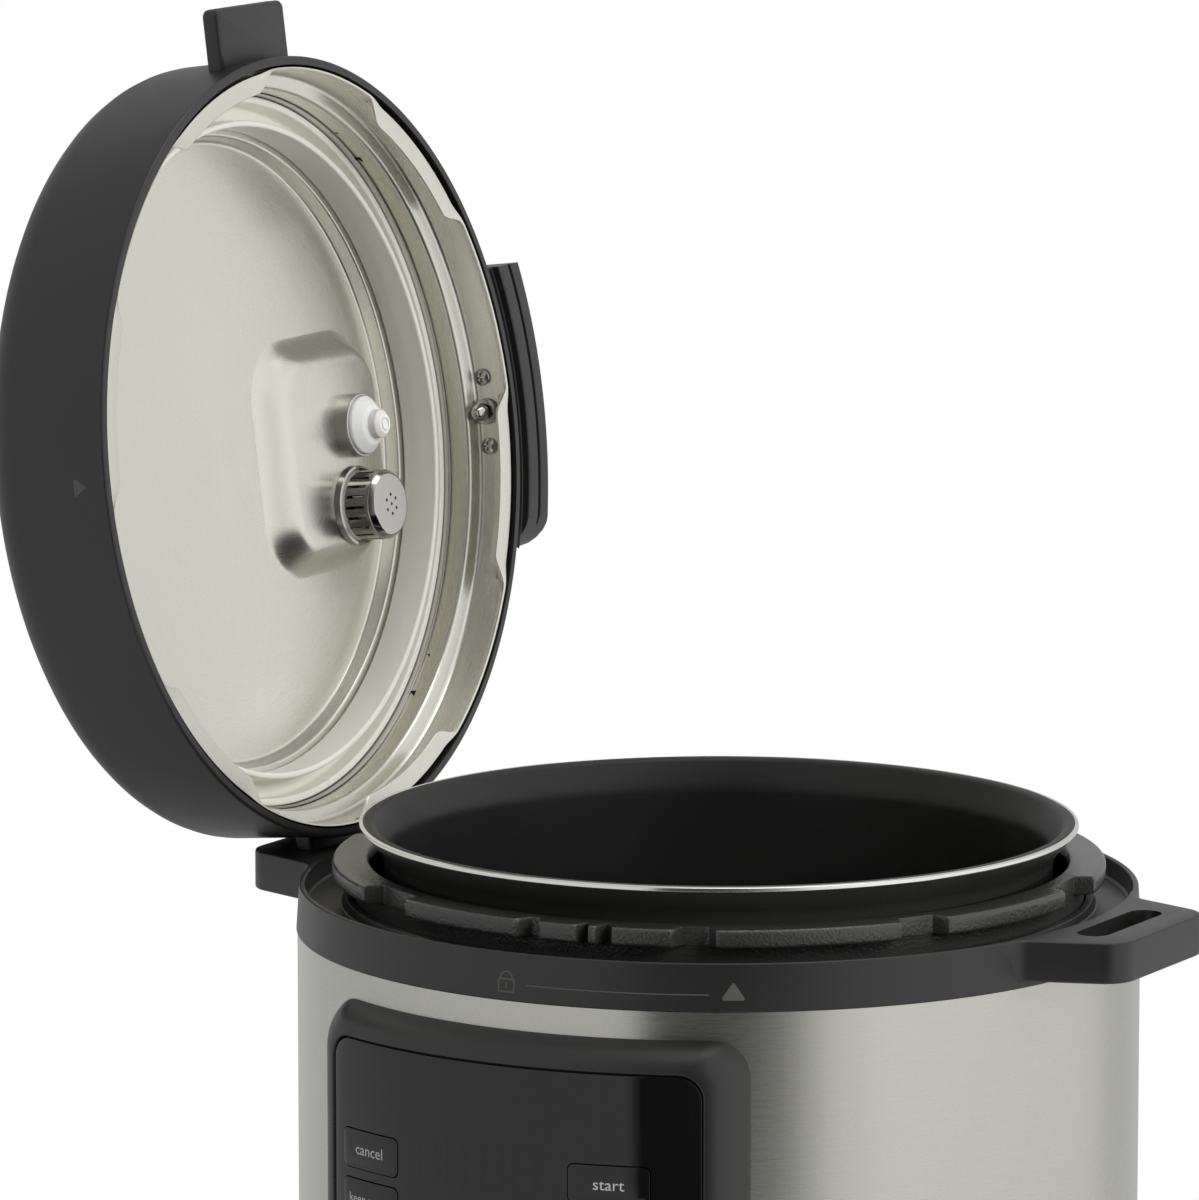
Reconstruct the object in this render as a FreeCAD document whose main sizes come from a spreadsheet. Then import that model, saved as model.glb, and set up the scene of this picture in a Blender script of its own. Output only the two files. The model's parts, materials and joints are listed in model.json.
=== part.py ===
"""Electric pressure cooker: a parametric assembly of separate pieces.

Millimetres, +Z up. The origin is the centre of the drum, on the surface that the feet stand on.
The control panel faces -Y and the side handles point along X. The lid is modelled closed, in its
own frame: its rim is the plane Z = 0, its thumb grip points along +Y and its fins along X. The lid's
Placement then stands it on its lower fin in the slot of the left handle, leaning outward.
"""
import FreeCAD, Part
import math
import os
import re

import Sketcher

Vector = FreeCAD.Vector

doc = FreeCAD.newDocument("PressureCooker")
sheet = doc.addObject("Spreadsheet::Sheet", "Dims")

# ---------------------------------------------------------------- driving dimensions
SIZES = {
    # base
    "foot_height": 8,
    "foot_radius": 12,
    "foot_circle": 112,
    "pan_floor": 3,
    "vent_circle": 90,
    "vent_width": 4,
    "vent_length": 26,
    "boss_radius": 4,
    "board_level": 30,
    "screw_head_radius": 4,
    "screw_head_height": 2,
    # drum and top ring
    "drum_radius": 150.6,
    "drum_wall": 0.6,
    "drum_bottom": 24,
    "ring_bottom": 235,
    "ring_top": 251.7,
    "ring_radius": 151,
    "ring_top_radius": 149.9,
    "ring_wall": 2.2,
    "gutter_floor": 244.5,
    "gutter_inner": 134.5,
    "ring_inner": 131,
    "ring_lip": 247.6,
    "handle_reach": 178,
    "handle_root_half": 46,
    "handle_tip_half": 34,
    "handle_depth": 14.5,
    "handle_corner": 12,
    "slot_place": 159.5,
    "slot_width": 12,
    "slot_length": 52,
    # inner housing, bayonet ring and pot
    "housing_radius": 126.5,
    "housing_wall": 1,
    "housing_floor": 60,
    "housing_flange": 146.2,
    "flange_level": 241.5,
    "bayonet_inner": 124.2,
    "bayonet_outer": 130.6,
    "bayonet_top": 260.8,
    "lug_radius": 138.2,
    "lug_thick": 6.6,
    "pot_radius": 119.5,
    "pot_wall": 2,
    "pot_floor": 2.6,
    "pot_bottom": 88,
    "pot_neck": 263,
    "pot_top": 273.9,
    "pot_rim_radius": 128.4,
    # heating
    "plate_radius": 112,
    "plate_thick": 10,
    "sensor_radius": 15.8,
    "sensor_gap": 0.4,
    "element_circle": 80,
    "element_radius": 5,
    "stem_radius": 4,
    # control panel
    "panel_top": 225,
    "panel_bottom": 88,
    "panel_radius": 162,
    "panel_slope": 9,
    "panel_foot_half": 82.2,
    "panel_face_half": 75.1,
    "panel_foot_depth": 126.6,
    "panel_face_depth": 143.6,
    "window_half": 73.2,
    "window_thick": 2.6,
    "window_corner": 7,
    "key_width": 28,
    "key_height": 14,
    "key_pitch": 17.5,
    "key_top": 176,
    "key_left": -54,
    "key_right": 43,
    "gap": 0.3,
    # back
    "inlet_level": 46,
    "inlet_width": 34,
    "inlet_height": 24,
    "cup_width": 66,
    "cup_depth": 26,
    "cup_height": 56,
    "cup_bottom": 150,
    "cup_wall": 2,
    # lid, in its own frame
    "lid_x": -166.2,
    "lid_level": 396.5,
    "lid_lean": 7.2,
    "lid_radius": 142.5,
    "lid_top_radius": 141.3,
    "lid_depth": 53,
    "lid_dome": 3,
    "lid_wall": 3.2,
    "lid_round": 13,
    "fin_reach": 162.5,
    "fin_half": 23,
    "fin_low": 8.5,
    "fin_thick": 7,
    "grip_reach": 168,
    "grip_low": 2,
    "grip_high": 24,
    "shell_wall": 0.8,
    "shell_panel": 43.3,
    "shell_panel_radius": 114.6,
    "seat_level": 37.5,
    "channel_radius": 131.7,
    "step_level": 15,
    "strip_radius": 137.3,
    "strip_low": 1,
    "lid_lug_radius": 131.6,
    "lid_lug_level": 3,
    "pad_level": 35,
    "valve_y": 78.5,
    "exhaust_x": -30,
    "exhaust_y": 76,
    "pin_x": -3,
    "pin_level": 10.5,
    "pin_radius": 2.9,
}
for row, (alias, value) in enumerate(SIZES.items(), start=1):
    sheet.set(f"A{row}", alias)
    sheet.set(f"B{row}", str(value))
    sheet.setAlias(f"B{row}", alias)
doc.recompute()

NODES = []  # the finished pieces, in the order they are made


# ---------------------------------------------------------------- helpers
def linked(formula):
    """A formula whose aliases point at their cells, for an expression."""
    return re.sub(r"[a-z]\w*", lambda word: "Dims." + word[0] if word[0] in SIZES else word[0], str(formula))


def number(formula):
    """What a formula comes to now, for the first place of a sketch point."""
    worth = sheet.evalExpression(linked(formula).replace("Dims.", ""))
    return float(worth)


def bind(thing, **formulas):
    """Ties each named property of an object to a formula."""
    for name, formula in formulas.items():
        thing.setExpression(name.replace("__", "."), linked(formula))
    return thing


def place(thing, x=0, y=0, z=0, axis=None, angle=0):
    """Gives an object a bound position, turned by an angle about an axis."""
    turn = FreeCAD.Rotation(Vector(*(axis or (0, 0, 1))), angle)
    thing.Placement = FreeCAD.Placement(Vector(0, 0, 0), turn)
    return bind(thing, Placement__Base__x=x, Placement__Base__y=y, Placement__Base__z=z)


def primitive(kind, name, **formulas):
    return bind(doc.addObject("Part::" + kind, name), **formulas)


def box(name, x, y, z):
    """A box between two formulas along each axis."""
    solid = primitive("Box", name, Length=f"({x[1]}) - ({x[0]})", Width=f"({y[1]}) - ({y[0]})",
                      Height=f"({z[1]}) - ({z[0]})")
    return place(solid, x[0], y[0], z[0])


def rod(name, radius, x, y, low, high):
    """An upright cylinder from one level to another."""
    solid = primitive("Cylinder", name, Radius=radius, Height=f"({high}) - ({low})")
    return place(solid, x, y, low)


def rod_along_y(name, radius, x, z, near, far):
    """A level cylinder along Y from one depth to another."""
    solid = primitive("Cylinder", name, Radius=radius, Height=f"({far}) - ({near})")
    return place(solid, x, near, z, axis=(1, 0, 0), angle=-90)


def fuse(name, *parts):
    union = doc.addObject("Part::MultiFuse", name)
    union.Shapes = list(parts)
    return union


def cut(name, base, *tools):
    """Base less every tool."""
    for count, tool in enumerate(tools):
        less = doc.addObject("Part::Cut", f"{name}_cut{count}")
        less.Base = base
        less.Tool = tool
        base = less
    return base


def common(name, *parts):
    shared = doc.addObject("Part::MultiCommon", name)
    shared.Shapes = list(parts)
    return shared


def group(name, *parts):
    """Separate solids kept as one piece, for a set of identical fasteners."""
    together = doc.addObject("Part::Compound", name)
    together.Links = list(parts)
    return together


def outline(sketch, corners):
    """Draws a closed outline whose corners are bound to pairs of formulas."""
    places = [Vector(number(across), number(up), 0) for across, up in corners]
    for this, following in zip(places, places[1:] + places[:1]):
        sketch.addGeometry(Part.LineSegment(this, following), False)
    for side in range(len(corners)):
        sketch.addConstraint(Sketcher.Constraint("Coincident", side, 2, (side + 1) % len(corners), 1))
    for side, (across, up) in enumerate(corners):
        for direction, formula in (("DistanceX", across), ("DistanceY", up)):
            rule = sketch.addConstraint(Sketcher.Constraint(direction, -1, 1, side, 1, number(formula)))
            sketch.setExpression(f"Constraints[{rule}]", linked(formula))


def sketched(name, role):
    """A new body with an empty sketch on one of its own origin planes."""
    body = doc.addObject("PartDesign::Body", name)
    plane = next(item for item in body.Origin.OriginFeatures if item.Role == role)
    sketch = body.newObject("Sketcher::SketchObject", name + "_sketch")
    sketch.AttachmentSupport = (plane, [""])
    sketch.MapMode = "FlatFace"
    return body, sketch


def turned(name, corners, x=0, y=0):
    """A piece turned about an upright axis from half of its section, given as radius and height."""
    body, sketch = sketched(name, "XZ_Plane")
    bind(sketch, AttachmentOffset__Base__x=x, AttachmentOffset__Base__z=f"-({y})")
    outline(sketch, corners)
    turn = body.newObject("PartDesign::Revolution", name + "_turn")
    turn.Profile = sketch
    turn.ReferenceAxis = (sketch, ["V_Axis"])
    turn.Angle = 360
    doc.recompute()
    return body


def raised(name, corners, low, high):
    """A plate whose plan outline is drawn on the XY plane, between two levels."""
    body, sketch = sketched(name, "XY_Plane")
    outline(sketch, corners)
    pad = body.newObject("PartDesign::Pad", name + "_pad")
    pad.Profile = sketch
    bind(pad, Length=f"({high}) - ({low})")
    bind(sketch, AttachmentOffset__Base__z=low)
    doc.recompute()
    return body


def rounded(body, radius, wanted):
    """Fillets the edges of a body that a test picks."""
    tip = body.Tip
    edges = [f"Edge{count}" for count, edge in enumerate(tip.Shape.Edges, start=1) if wanted(edge)]
    fillet = body.newObject("PartDesign::Fillet", body.Name + "_round")
    fillet.Base = (tip, edges)
    fillet.Radius = radius
    doc.recompute()
    return body


def at_circle(radius, level):
    """A test that picks the round edge of a turned piece at a radius and a level."""
    def wanted(edge):
        ring = edge.Curve
        return (isinstance(ring, Part.Circle) and abs(ring.Radius - number(radius)) < 0.05
                and abs(ring.Center.z - number(level)) < 0.05)
    return wanted


def upright_at(reach):
    """A test that picks the upright edges that stand at least that far from the axis along X."""
    def wanted(edge):
        start, end = (corner.Point for corner in edge.Vertexes[::len(edge.Vertexes) - 1 or 1])
        return abs(start.x - end.x) < 0.01 and abs(start.y - end.y) < 0.01 and abs(start.x) > reach
    return wanted


def sector(name, radius, low, high, start, sweep):
    """A slice of a cylinder, from a start angle counted from +X, through a sweep in degrees."""
    solid = primitive("Cylinder", name, Radius=radius, Height=f"({high}) - ({low})")
    solid.Angle = sweep
    return place(solid, 0, 0, low, angle=start)


def node(piece, label, in_lid=False):
    """Names a finished piece. A piece of the lid gets the lid's parked placement."""
    piece.Label = label
    if in_lid:
        piece.Placement = FreeCAD.Placement(Vector(0, 0, 0), FreeCAD.Rotation(Vector(0, -1, 0), 90 + SIZES["lid_lean"]))
        bind(piece, Placement__Base__x="lid_x", Placement__Base__z="lid_level",
             Placement__Rotation__Angle="90 + lid_lean")
    NODES.append(piece)
    return piece


# ---------------------------------------------------------------- base: feet, pan and boards
sleeve_inside = "drum_radius - drum_wall - 0.1"
pan = turned("pan_shell", [
    ("0", "foot_height"), ("drum_radius - 6", "foot_height"), ("drum_radius + 0.4", "foot_height + 5"),
    ("drum_radius + 0.4", "drum_bottom"), (sleeve_inside, "drum_bottom"), (sleeve_inside, "drum_bottom + 10"),
    (sleeve_inside + " - 3", "drum_bottom + 10"), (sleeve_inside + " - 3", "foot_height + 7"),
    ("drum_radius - 8", "foot_height + pan_floor"), ("0", "foot_height + pan_floor")])
BOARD_BOSSES = [(side * 50, 45 + end * 26) for side in (-1, 1) for end in (-1, 1)]
bosses = [rod(f"board_boss{count}", "boss_radius", x, y, "foot_height + pan_floor - 0.5", "board_level")
          for count, (x, y) in enumerate(BOARD_BOSSES)]
vents = []
for count in range(12):
    vent = primitive("Box", f"vent{count}", Length="vent_length", Width="vent_width", Height="20")
    angle = 15 + 30 * count
    direction = FreeCAD.Rotation(Vector(0, 0, 1), angle).multVec(Vector(1, 0, 0))
    side = FreeCAD.Rotation(Vector(0, 0, 1), angle).multVec(Vector(0, 1, 0))
    place(vent, f"vent_circle * ({direction.x}) - vent_width / 2 * ({side.x})",
          f"vent_circle * ({direction.y}) - vent_width / 2 * ({side.y})", 0, angle=angle)
    vents.append(vent)
node(cut("pan", fuse("pan_whole", pan, *bosses), *vents), "base_pan")

for count in range(4):
    angle = math.radians(45 + 90 * count)
    foot = primitive("Cone", f"foot{count}", Radius1="foot_radius - 2", Radius2="foot_radius", Height="foot_height")
    place(foot, f"foot_circle * ({math.cos(angle)})", f"foot_circle * ({math.sin(angle)})", 0)
    node(foot, f"rubber_foot_{count + 1}")

heads = []
for count in range(4):
    angle = math.radians(90 * count)
    heads.append(rod(f"base_screw{count}", "screw_head_radius", f"60 * ({math.cos(angle)})",
                     f"60 * ({math.sin(angle)})", "foot_height - screw_head_height", "foot_height"))
node(group("base_screw_group", *heads), "base_screws")

board = box("board_plate", ("-58", "58"), ("13", "77"), ("board_level", "board_level + 1.6"))
relay = box("board_relay", ("-40", "-12"), ("30", "50"), ("board_level + 1.6", "board_level + 17"))
coil = box("board_coil", ("0", "24"), ("40", "64"), ("board_level + 1.6", "board_level + 20"))
capacitor = rod("board_capacitor", "6", "40", "34", "board_level + 1.6", "board_level + 22")
node(fuse("power_board_parts", board, relay, coil, capacitor), "power_board")

# ---------------------------------------------------------------- drum and top ring
sleeve_tube = turned("sleeve_tube", [
    ("drum_radius - drum_wall", "drum_bottom"), ("drum_radius", "drum_bottom"),
    ("drum_radius", "ring_bottom"), ("drum_radius - drum_wall", "ring_bottom")])
panel_hole = box("sleeve_panel_hole", ("-62", "62"), ("-170", "-100"), ("panel_bottom + 10", "panel_top - 10"))
inlet_hole = box("sleeve_inlet_hole", ("-inlet_width / 2 - gap", "inlet_width / 2 + gap"), ("120", "170"),
                 ("inlet_level - inlet_height / 2 - gap", "inlet_level + inlet_height / 2 + gap"))
node(cut("sleeve", sleeve_tube, panel_hole, inlet_hole), "outer_sleeve")

ring_section = turned("ring_section", [
    ("ring_radius", "ring_bottom"), ("ring_top_radius", "ring_top"), ("ring_top_radius - ring_wall", "ring_top"),
    ("ring_top_radius - ring_wall - 0.5", "gutter_floor"), ("gutter_inner", "gutter_floor"),
    ("gutter_inner - 1", "ring_lip"), ("ring_inner", "ring_lip"), ("ring_inner", "flange_level"),
    ("ring_radius - 4.5", "flange_level"), ("ring_radius - 3.2", "ring_bottom")])
rounded(ring_section, 0.8, at_circle("ring_top_radius", "ring_top"))
drum_core = rod("handle_core", "ring_top_radius - 1", 0, 0, "200", "300")
handles = []
slots = []
for side, name in ((1, "right"), (-1, "left")):
    plate = raised(name + "_handle", [
        (f"{side} * 135", "-handle_root_half"), (f"{side} * handle_reach", "-handle_tip_half"),
        (f"{side} * handle_reach", "handle_tip_half"), (f"{side} * 135", "handle_root_half")],
        "ring_top - handle_depth", "ring_top")
    rounded(plate, SIZES["handle_corner"], upright_at(170))
    handles.append(cut(name + "_handle_trim", plate, drum_core))
    slot_middle = f"{side} * slot_place"
    ends = [rod(f"{name}_slot_end{end}", "slot_width / 2", slot_middle, f"{end} * (slot_length - slot_width) / 2",
                "ring_bottom - 5", "ring_top + 5") for end in (-1, 1)]
    middle = box(name + "_slot_middle", (f"{slot_middle} - slot_width / 2", f"{slot_middle} + slot_width / 2"),
                 ("-(slot_length - slot_width) / 2", "(slot_length - slot_width) / 2"),
                 ("ring_bottom - 5", "ring_top + 5"))
    slots.append(fuse(name + "_slot", middle, *ends))
node(cut("ring", fuse("ring_whole", ring_section, *handles), *slots), "top_ring")

# ---------------------------------------------------------------- inner housing and bayonet ring
housing_inside = "housing_radius - housing_wall"
node(turned("housing_can", [
    ("62", "housing_floor"), ("housing_radius", "housing_floor"), ("housing_radius", "flange_level - 1.2"),
    ("housing_flange", "flange_level - 1.2"), ("housing_flange", "flange_level"),
    (housing_inside, "flange_level"), (housing_inside, "housing_floor + 1"), ("62", "housing_floor + 1")]),
    "inner_housing")

# each pair is where a lug starts and ends, in degrees from the front, counted towards the right
LUG_SPANS = [(-78, -35), (-24, 0), (3, 23.5), (28, 56.5), (63.5, 91)]
LUG_SPANS += [(start + 180, end + 180) for start, end in LUG_SPANS]
collar = turned("bayonet_collar", [
    ("bayonet_inner", "flange_level"), ("bayonet_outer", "flange_level"), ("bayonet_outer", "bayonet_top"),
    ("bayonet_inner + 1", "bayonet_top"), ("bayonet_inner", "bayonet_top - 1")])
lug_ring = turned("bayonet_lug_ring", [
    ("bayonet_outer - 0.5", "bayonet_top - lug_thick"), ("lug_radius", "bayonet_top - lug_thick"),
    ("lug_radius", "bayonet_top - 1"), ("lug_radius - 1", "bayonet_top"), ("bayonet_outer - 0.5", "bayonet_top")])
lug_gaps = []
for count, (start, end) in enumerate(LUG_SPANS):
    following = LUG_SPANS[(count + 1) % len(LUG_SPANS)][0]
    sweep = (following - end) % 360
    lug_gaps.append(sector(f"lug_gap{count}", "lug_radius + 5", "bayonet_top - lug_thick - 2", "bayonet_top + 2",
                           end - 90, sweep))
node(fuse("bayonet_whole", collar, cut("bayonet_lugs", lug_ring, *lug_gaps)), "bayonet_ring")

# ---------------------------------------------------------------- inner pot
pot_inside = "pot_radius - pot_wall"
pot = turned("pot_form", [
    ("0", "pot_bottom"), ("pot_radius", "pot_bottom"), ("pot_radius", "pot_neck"),
    ("pot_rim_radius", "pot_top - 1.6"), ("pot_rim_radius", "pot_top"), ("pot_rim_radius - 3", "pot_top"),
    (pot_inside, "pot_neck + 0.6"), (pot_inside, "pot_bottom + pot_floor"), ("0", "pot_bottom + pot_floor")])
rounded(pot, 14, at_circle("pot_radius", "pot_bottom"))
rounded(pot, 12, at_circle(pot_inside, "pot_bottom + pot_floor"))
rounded(pot, 9, at_circle(pot_inside, "pot_neck + 0.6"))
rounded(pot, 7, at_circle("pot_radius", "pot_neck"))
node(pot, "inner_pot")

# ---------------------------------------------------------------- heating plate, element and sensor
plate = turned("plate_disc", [
    ("sensor_radius + 0.7", "pot_bottom - plate_thick"), ("sensor_radius + 0.7", "pot_bottom"),
    ("plate_radius - 8", "pot_bottom"), ("plate_radius", "pot_bottom - 3"),
    ("plate_radius", "pot_bottom - plate_thick")])
legs = []
for count in range(3):
    angle = math.radians(30 + 120 * count)
    legs.append(rod(f"plate_leg{count}", "boss_radius", f"100 * ({math.cos(angle)})", f"100 * ({math.sin(angle)})",
                    "housing_floor + 1", "pot_bottom - plate_thick + 0.5"))
node(fuse("plate_whole", plate, *legs), "heating_plate")

element = primitive("Torus", "element_ring", Radius1="element_circle", Radius2="element_radius")
place(element, 0, 0, "pot_bottom - plate_thick - element_radius")
terminals = [rod(f"element_terminal{side}", "2.5", f"{side} * 12", "-element_circle", "housing_floor + 1.5",
                 "pot_bottom - plate_thick - element_radius") for side in (-1, 1)]
node(fuse("element_whole", element, *terminals), "heating_element")

node(turned("sensor_cap", [
    ("0", "housing_floor - 6"), ("stem_radius", "housing_floor - 6"), ("stem_radius", "pot_bottom - 12"),
    ("sensor_radius", "pot_bottom - 12"), ("sensor_radius", "pot_bottom - sensor_gap - 1"),
    ("sensor_radius - 1", "pot_bottom - sensor_gap"), ("0", "pot_bottom - sensor_gap")]), "temperature_sensor")
node(turned("sensor_coil", [
    ("7", "housing_floor"), ("9", "housing_floor"), ("9", "pot_bottom - 12"), ("7", "pot_bottom - 12")]),
    "sensor_spring")
node(turned("sensor_plate", [
    ("stem_radius + 0.3", "housing_floor - 2"), ("75", "housing_floor - 2"), ("75", "housing_floor"),
    ("stem_radius + 0.3", "housing_floor")]), "sensor_bracket")

switch_block = box("switch_block", ("34", "54"), ("-6", "6"), ("housing_floor - 14", "housing_floor - 2"))
switch_lever = box("switch_lever", ("26", "34.5"), ("-2", "2"), ("housing_floor - 6", "housing_floor - 4.5"))
node(fuse("switch_parts", switch_block, switch_lever), "pressure_switch")
fuse_tube = rod_along_y("fuse_tube", "3", "-44", "housing_floor - 5", "-14", "14")
node(fuse_tube, "thermal_fuse")

# ---------------------------------------------------------------- control panel
panel_ring = turned("panel_ring", [
    ("drum_radius + 0.05", "panel_bottom"), ("panel_radius", "panel_bottom + panel_slope"),
    ("panel_radius", "panel_top - panel_slope"), ("drum_radius + 0.05", "panel_top")])
panel_sides = raised("panel_sides", [
    ("panel_foot_half + 1.5 * (panel_foot_half - panel_face_half)",
     "-panel_foot_depth + 1.5 * (panel_face_depth - panel_foot_depth)"),
    ("-panel_foot_half - 1.5 * (panel_foot_half - panel_face_half)",
     "-panel_foot_depth + 1.5 * (panel_face_depth - panel_foot_depth)"),
    ("-panel_face_half + 2 * (panel_foot_half - panel_face_half)",
     "-panel_face_depth - 2 * (panel_face_depth - panel_foot_depth)"),
    ("panel_face_half - 2 * (panel_foot_half - panel_face_half)",
     "-panel_face_depth - 2 * (panel_face_depth - panel_foot_depth)")],
    "panel_bottom - 5", "panel_top + 5")
panel_block = common("panel_block", panel_ring, panel_sides)


def front_prism(name, half, low, high, corner, middle="0"):
    """A rounded block seen from the front, deep enough to reach through the panel."""
    core = box(name + "_core", (f"{middle} - {half}", f"{middle} + {half}"), ("-180", "-100"),
               (f"{low}", f"{high}"))
    rounded_block = doc.addObject("Part::Fillet", name)
    rounded_block.Base = core
    doc.recompute()
    picked = []
    for count, edge in enumerate(core.Shape.Edges, start=1):
        start, end = (vertex.Point for vertex in edge.Vertexes)
        if abs(start.x - end.x) < 0.01 and abs(start.z - end.z) < 0.01:
            picked.append((count, corner, corner))
    rounded_block.Edges = picked
    return rounded_block


def front_shell(name, inner, outer):
    """The part of a tube about the drum's axis between two radii, as tall as the panel."""
    return turned(name, [(inner, "panel_bottom"), (outer, "panel_bottom"), (outer, "panel_top"), (inner, "panel_top")])


window_low = "panel_bottom + panel_slope + 1.5"
window_high = "panel_top - panel_slope - 1.5"
recess = common("panel_recess",
                front_shell("recess_shell", "panel_radius - window_thick - 0.4", "panel_radius + 8"),
                front_prism("recess_prism", f"(window_half + gap)", window_low + " - gap", window_high + " + gap",
                            SIZES["window_corner"] + SIZES["gap"]))
opening = front_prism("panel_opening", "(window_half - 3)", window_low + " + 8", window_high + " - 8", 4)
panel_bosses = [rod_along_y(f"panel_boss{side}{end}", "3", f"{side} * 50", level, "-148", "-137.6")
                for side in (-1, 1) for end, level in enumerate((window_low + " + 4", window_high + " - 4"))]
frame = cut("bezel_frame", panel_block, recess, opening)
node(fuse("bezel_whole", frame, *panel_bosses), "panel_bezel")

KEYS = [
    ("stop_key", "key_left", 0), ("warm_key", "key_left", 1), ("timer_key", "key_left", 2),
    ("start_key", "key_right", 0), ("plus_key", "key_right", 1), ("minus_key", "key_right", 2)]
key_holes = []
for name, middle, row in KEYS:
    level = f"key_top - {row} * key_pitch"
    low = f"{level} - key_height / 2"
    high = f"{level} + key_height / 2"
    key_holes.append(front_prism(name + "_hole", "(key_width / 2 + gap)", low + " - gap", high + " + gap", 2.3, middle))
    body = front_prism(name + "_prism", "key_width / 2", low, high, 2, middle)
    node(common(name + "_form", front_shell(name + "_shell", "panel_radius - 6", "panel_radius + 0.3"), body), name)

glass = common("window_whole",
               front_shell("window_shell", "panel_radius - window_thick - 0.3", "panel_radius - 0.3"),
               front_prism("window_prism", "window_half", window_low, window_high, SIZES["window_corner"]))
node(cut("window", glass, *key_holes), "panel_window")

display_plate = box("display_plate", ("-60", "60"), ("-137.6", "-136"), (window_low + " + 0.5", window_high + " - 0.5"))
display_digits = box("display_digits", ("-22", "22"), ("-150", "-137.6"), ("168", "188"))
node(fuse("display_parts", display_plate, display_digits), "display_board")

# ---------------------------------------------------------------- power inlet and condensation cup
inlet_block = box("inlet_block", ("-inlet_width / 2", "inlet_width / 2"), ("126", "154"),
                  ("inlet_level - inlet_height / 2", "inlet_level + inlet_height / 2"))
inlet_recess = box("inlet_recess", ("-12.2", "12.2"), ("138", "156"), ("inlet_level - 8.2", "inlet_level + 8.2"))
inlet_pins = [box(f"inlet_pin{count}", (f"{x} - 1", f"{x} + 1"), ("137.5", "150"),
                  (f"inlet_level + {rise} - 2", f"inlet_level + {rise} + 2"))
              for count, (x, rise) in enumerate(((-7, -2.5), (0, 2.5), (7, -2.5)))]
node(fuse("inlet_whole", cut("inlet_shell", inlet_block, inlet_recess), *inlet_pins), "power_inlet")

cup_front = "drum_radius + 9.7"
bracket_block = box("bracket_block", ("-cup_width / 2 - 4", "cup_width / 2 + 4"), ("130", "drum_radius + 9.4"),
                    ("cup_bottom - 2", "cup_bottom + cup_height + 8"))
bracket_hood = box("bracket_hood", ("-cup_width / 2 - 4", "cup_width / 2 + 4"), ("150", cup_front + " + cup_depth"),
                   ("cup_bottom + cup_height + 1", "cup_bottom + cup_height + 4"))
drum_tool = rod("bracket_drum", "drum_radius + 0.1", 0, 0, "100", "260")
node(cut("bracket", fuse("bracket_whole", bracket_block, bracket_hood), drum_tool), "cup_bracket")

cup_block = box("cup_block", ("-cup_width / 2", "cup_width / 2"), (cup_front, cup_front + " + cup_depth"),
                ("cup_bottom", "cup_bottom + cup_height"))
cup_rounded = doc.addObject("Part::Fillet", "cup_rounded")
cup_rounded.Base = cup_block
doc.recompute()
cup_rounded.Edges = [(count, 8, 8) for count, edge in enumerate(cup_block.Shape.Edges, start=1)
                     if all(vertex.Point.y > number(cup_front) + 1 for vertex in edge.Vertexes)
                     and abs(edge.Vertexes[0].Point.x - edge.Vertexes[1].Point.x) < 0.01]
cup_hollow = box("cup_hollow", ("-cup_width / 2 + cup_wall", "cup_width / 2 - cup_wall"),
                 (cup_front + " + cup_wall", cup_front + " + cup_depth - cup_wall"),
                 ("cup_bottom + cup_wall", "cup_bottom + cup_height + 5"))
cup_hollow_round = doc.addObject("Part::Fillet", "cup_hollow_round")
cup_hollow_round.Base = cup_hollow
doc.recompute()
cup_hollow_round.Edges = [(count, 6, 6) for count, edge in enumerate(cup_hollow.Shape.Edges, start=1)
                          if all(vertex.Point.y > number(cup_front) + 5 for vertex in edge.Vertexes)
                          and abs(edge.Vertexes[0].Point.x - edge.Vertexes[1].Point.x) < 0.01
                          and abs(edge.Vertexes[0].Point.y - edge.Vertexes[1].Point.y) < 0.01]
node(cut("cup", cup_rounded, cup_hollow_round), "condensation_cup")

# ---------------------------------------------------------------- lid: plastic cover, handle and grip
cover = turned("cover_form", [
    ("lid_radius - lid_wall", "0"), ("lid_radius", "0"), ("lid_top_radius", "lid_depth"),
    ("0", "lid_depth + lid_dome"), ("0", "lid_depth + lid_dome - lid_wall"),
    ("lid_top_radius - lid_wall", "lid_depth - lid_wall")])
rounded(cover, SIZES["lid_round"], at_circle("lid_top_radius", "lid_depth"))
rounded(cover, SIZES["lid_round"] - SIZES["lid_wall"],
        at_circle("lid_top_radius - lid_wall", "lid_depth - lid_wall"))
fins = []
for side in (-1, 1):
    near = f"{side} * (lid_radius - 2.4)"
    far = f"{side} * fin_reach"
    fins.append(box(f"fin{side}", (near, far) if side > 0 else (far, near), ("-fin_half", "fin_half"),
                    ("fin_low", "fin_low + fin_thick")))
valve_hole = rod("cover_valve_hole", "6", 0, "valve_y", "30", "80")
exhaust_hole = rod("cover_exhaust_hole", "8", "exhaust_x", "exhaust_y", "30", "80")
cover_pin_hole = rod_along_y("cover_pin_hole", "5.2", "pin_x", "pin_level", "130", "150")
node(cut("lid_cover_form", fuse("cover_whole", cover, *fins), valve_hole, exhaust_hole, cover_pin_hole),
     "lid_cover", in_lid=True)

handle_bar = turned("handle_bar", [
    ("0", "lid_depth + lid_dome + 0.2"), ("44", "lid_depth + lid_dome + 0.2"), ("40", "lid_depth + 20"),
    ("34", "lid_depth + 26"), ("0", "lid_depth + 28")])
handle_sides = box("handle_sides", ("-50", "50"), ("-19", "19"), ("lid_depth", "lid_depth + 40"))
node(common("handle_form", handle_bar, handle_sides), "lid_handle", in_lid=True)

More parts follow.
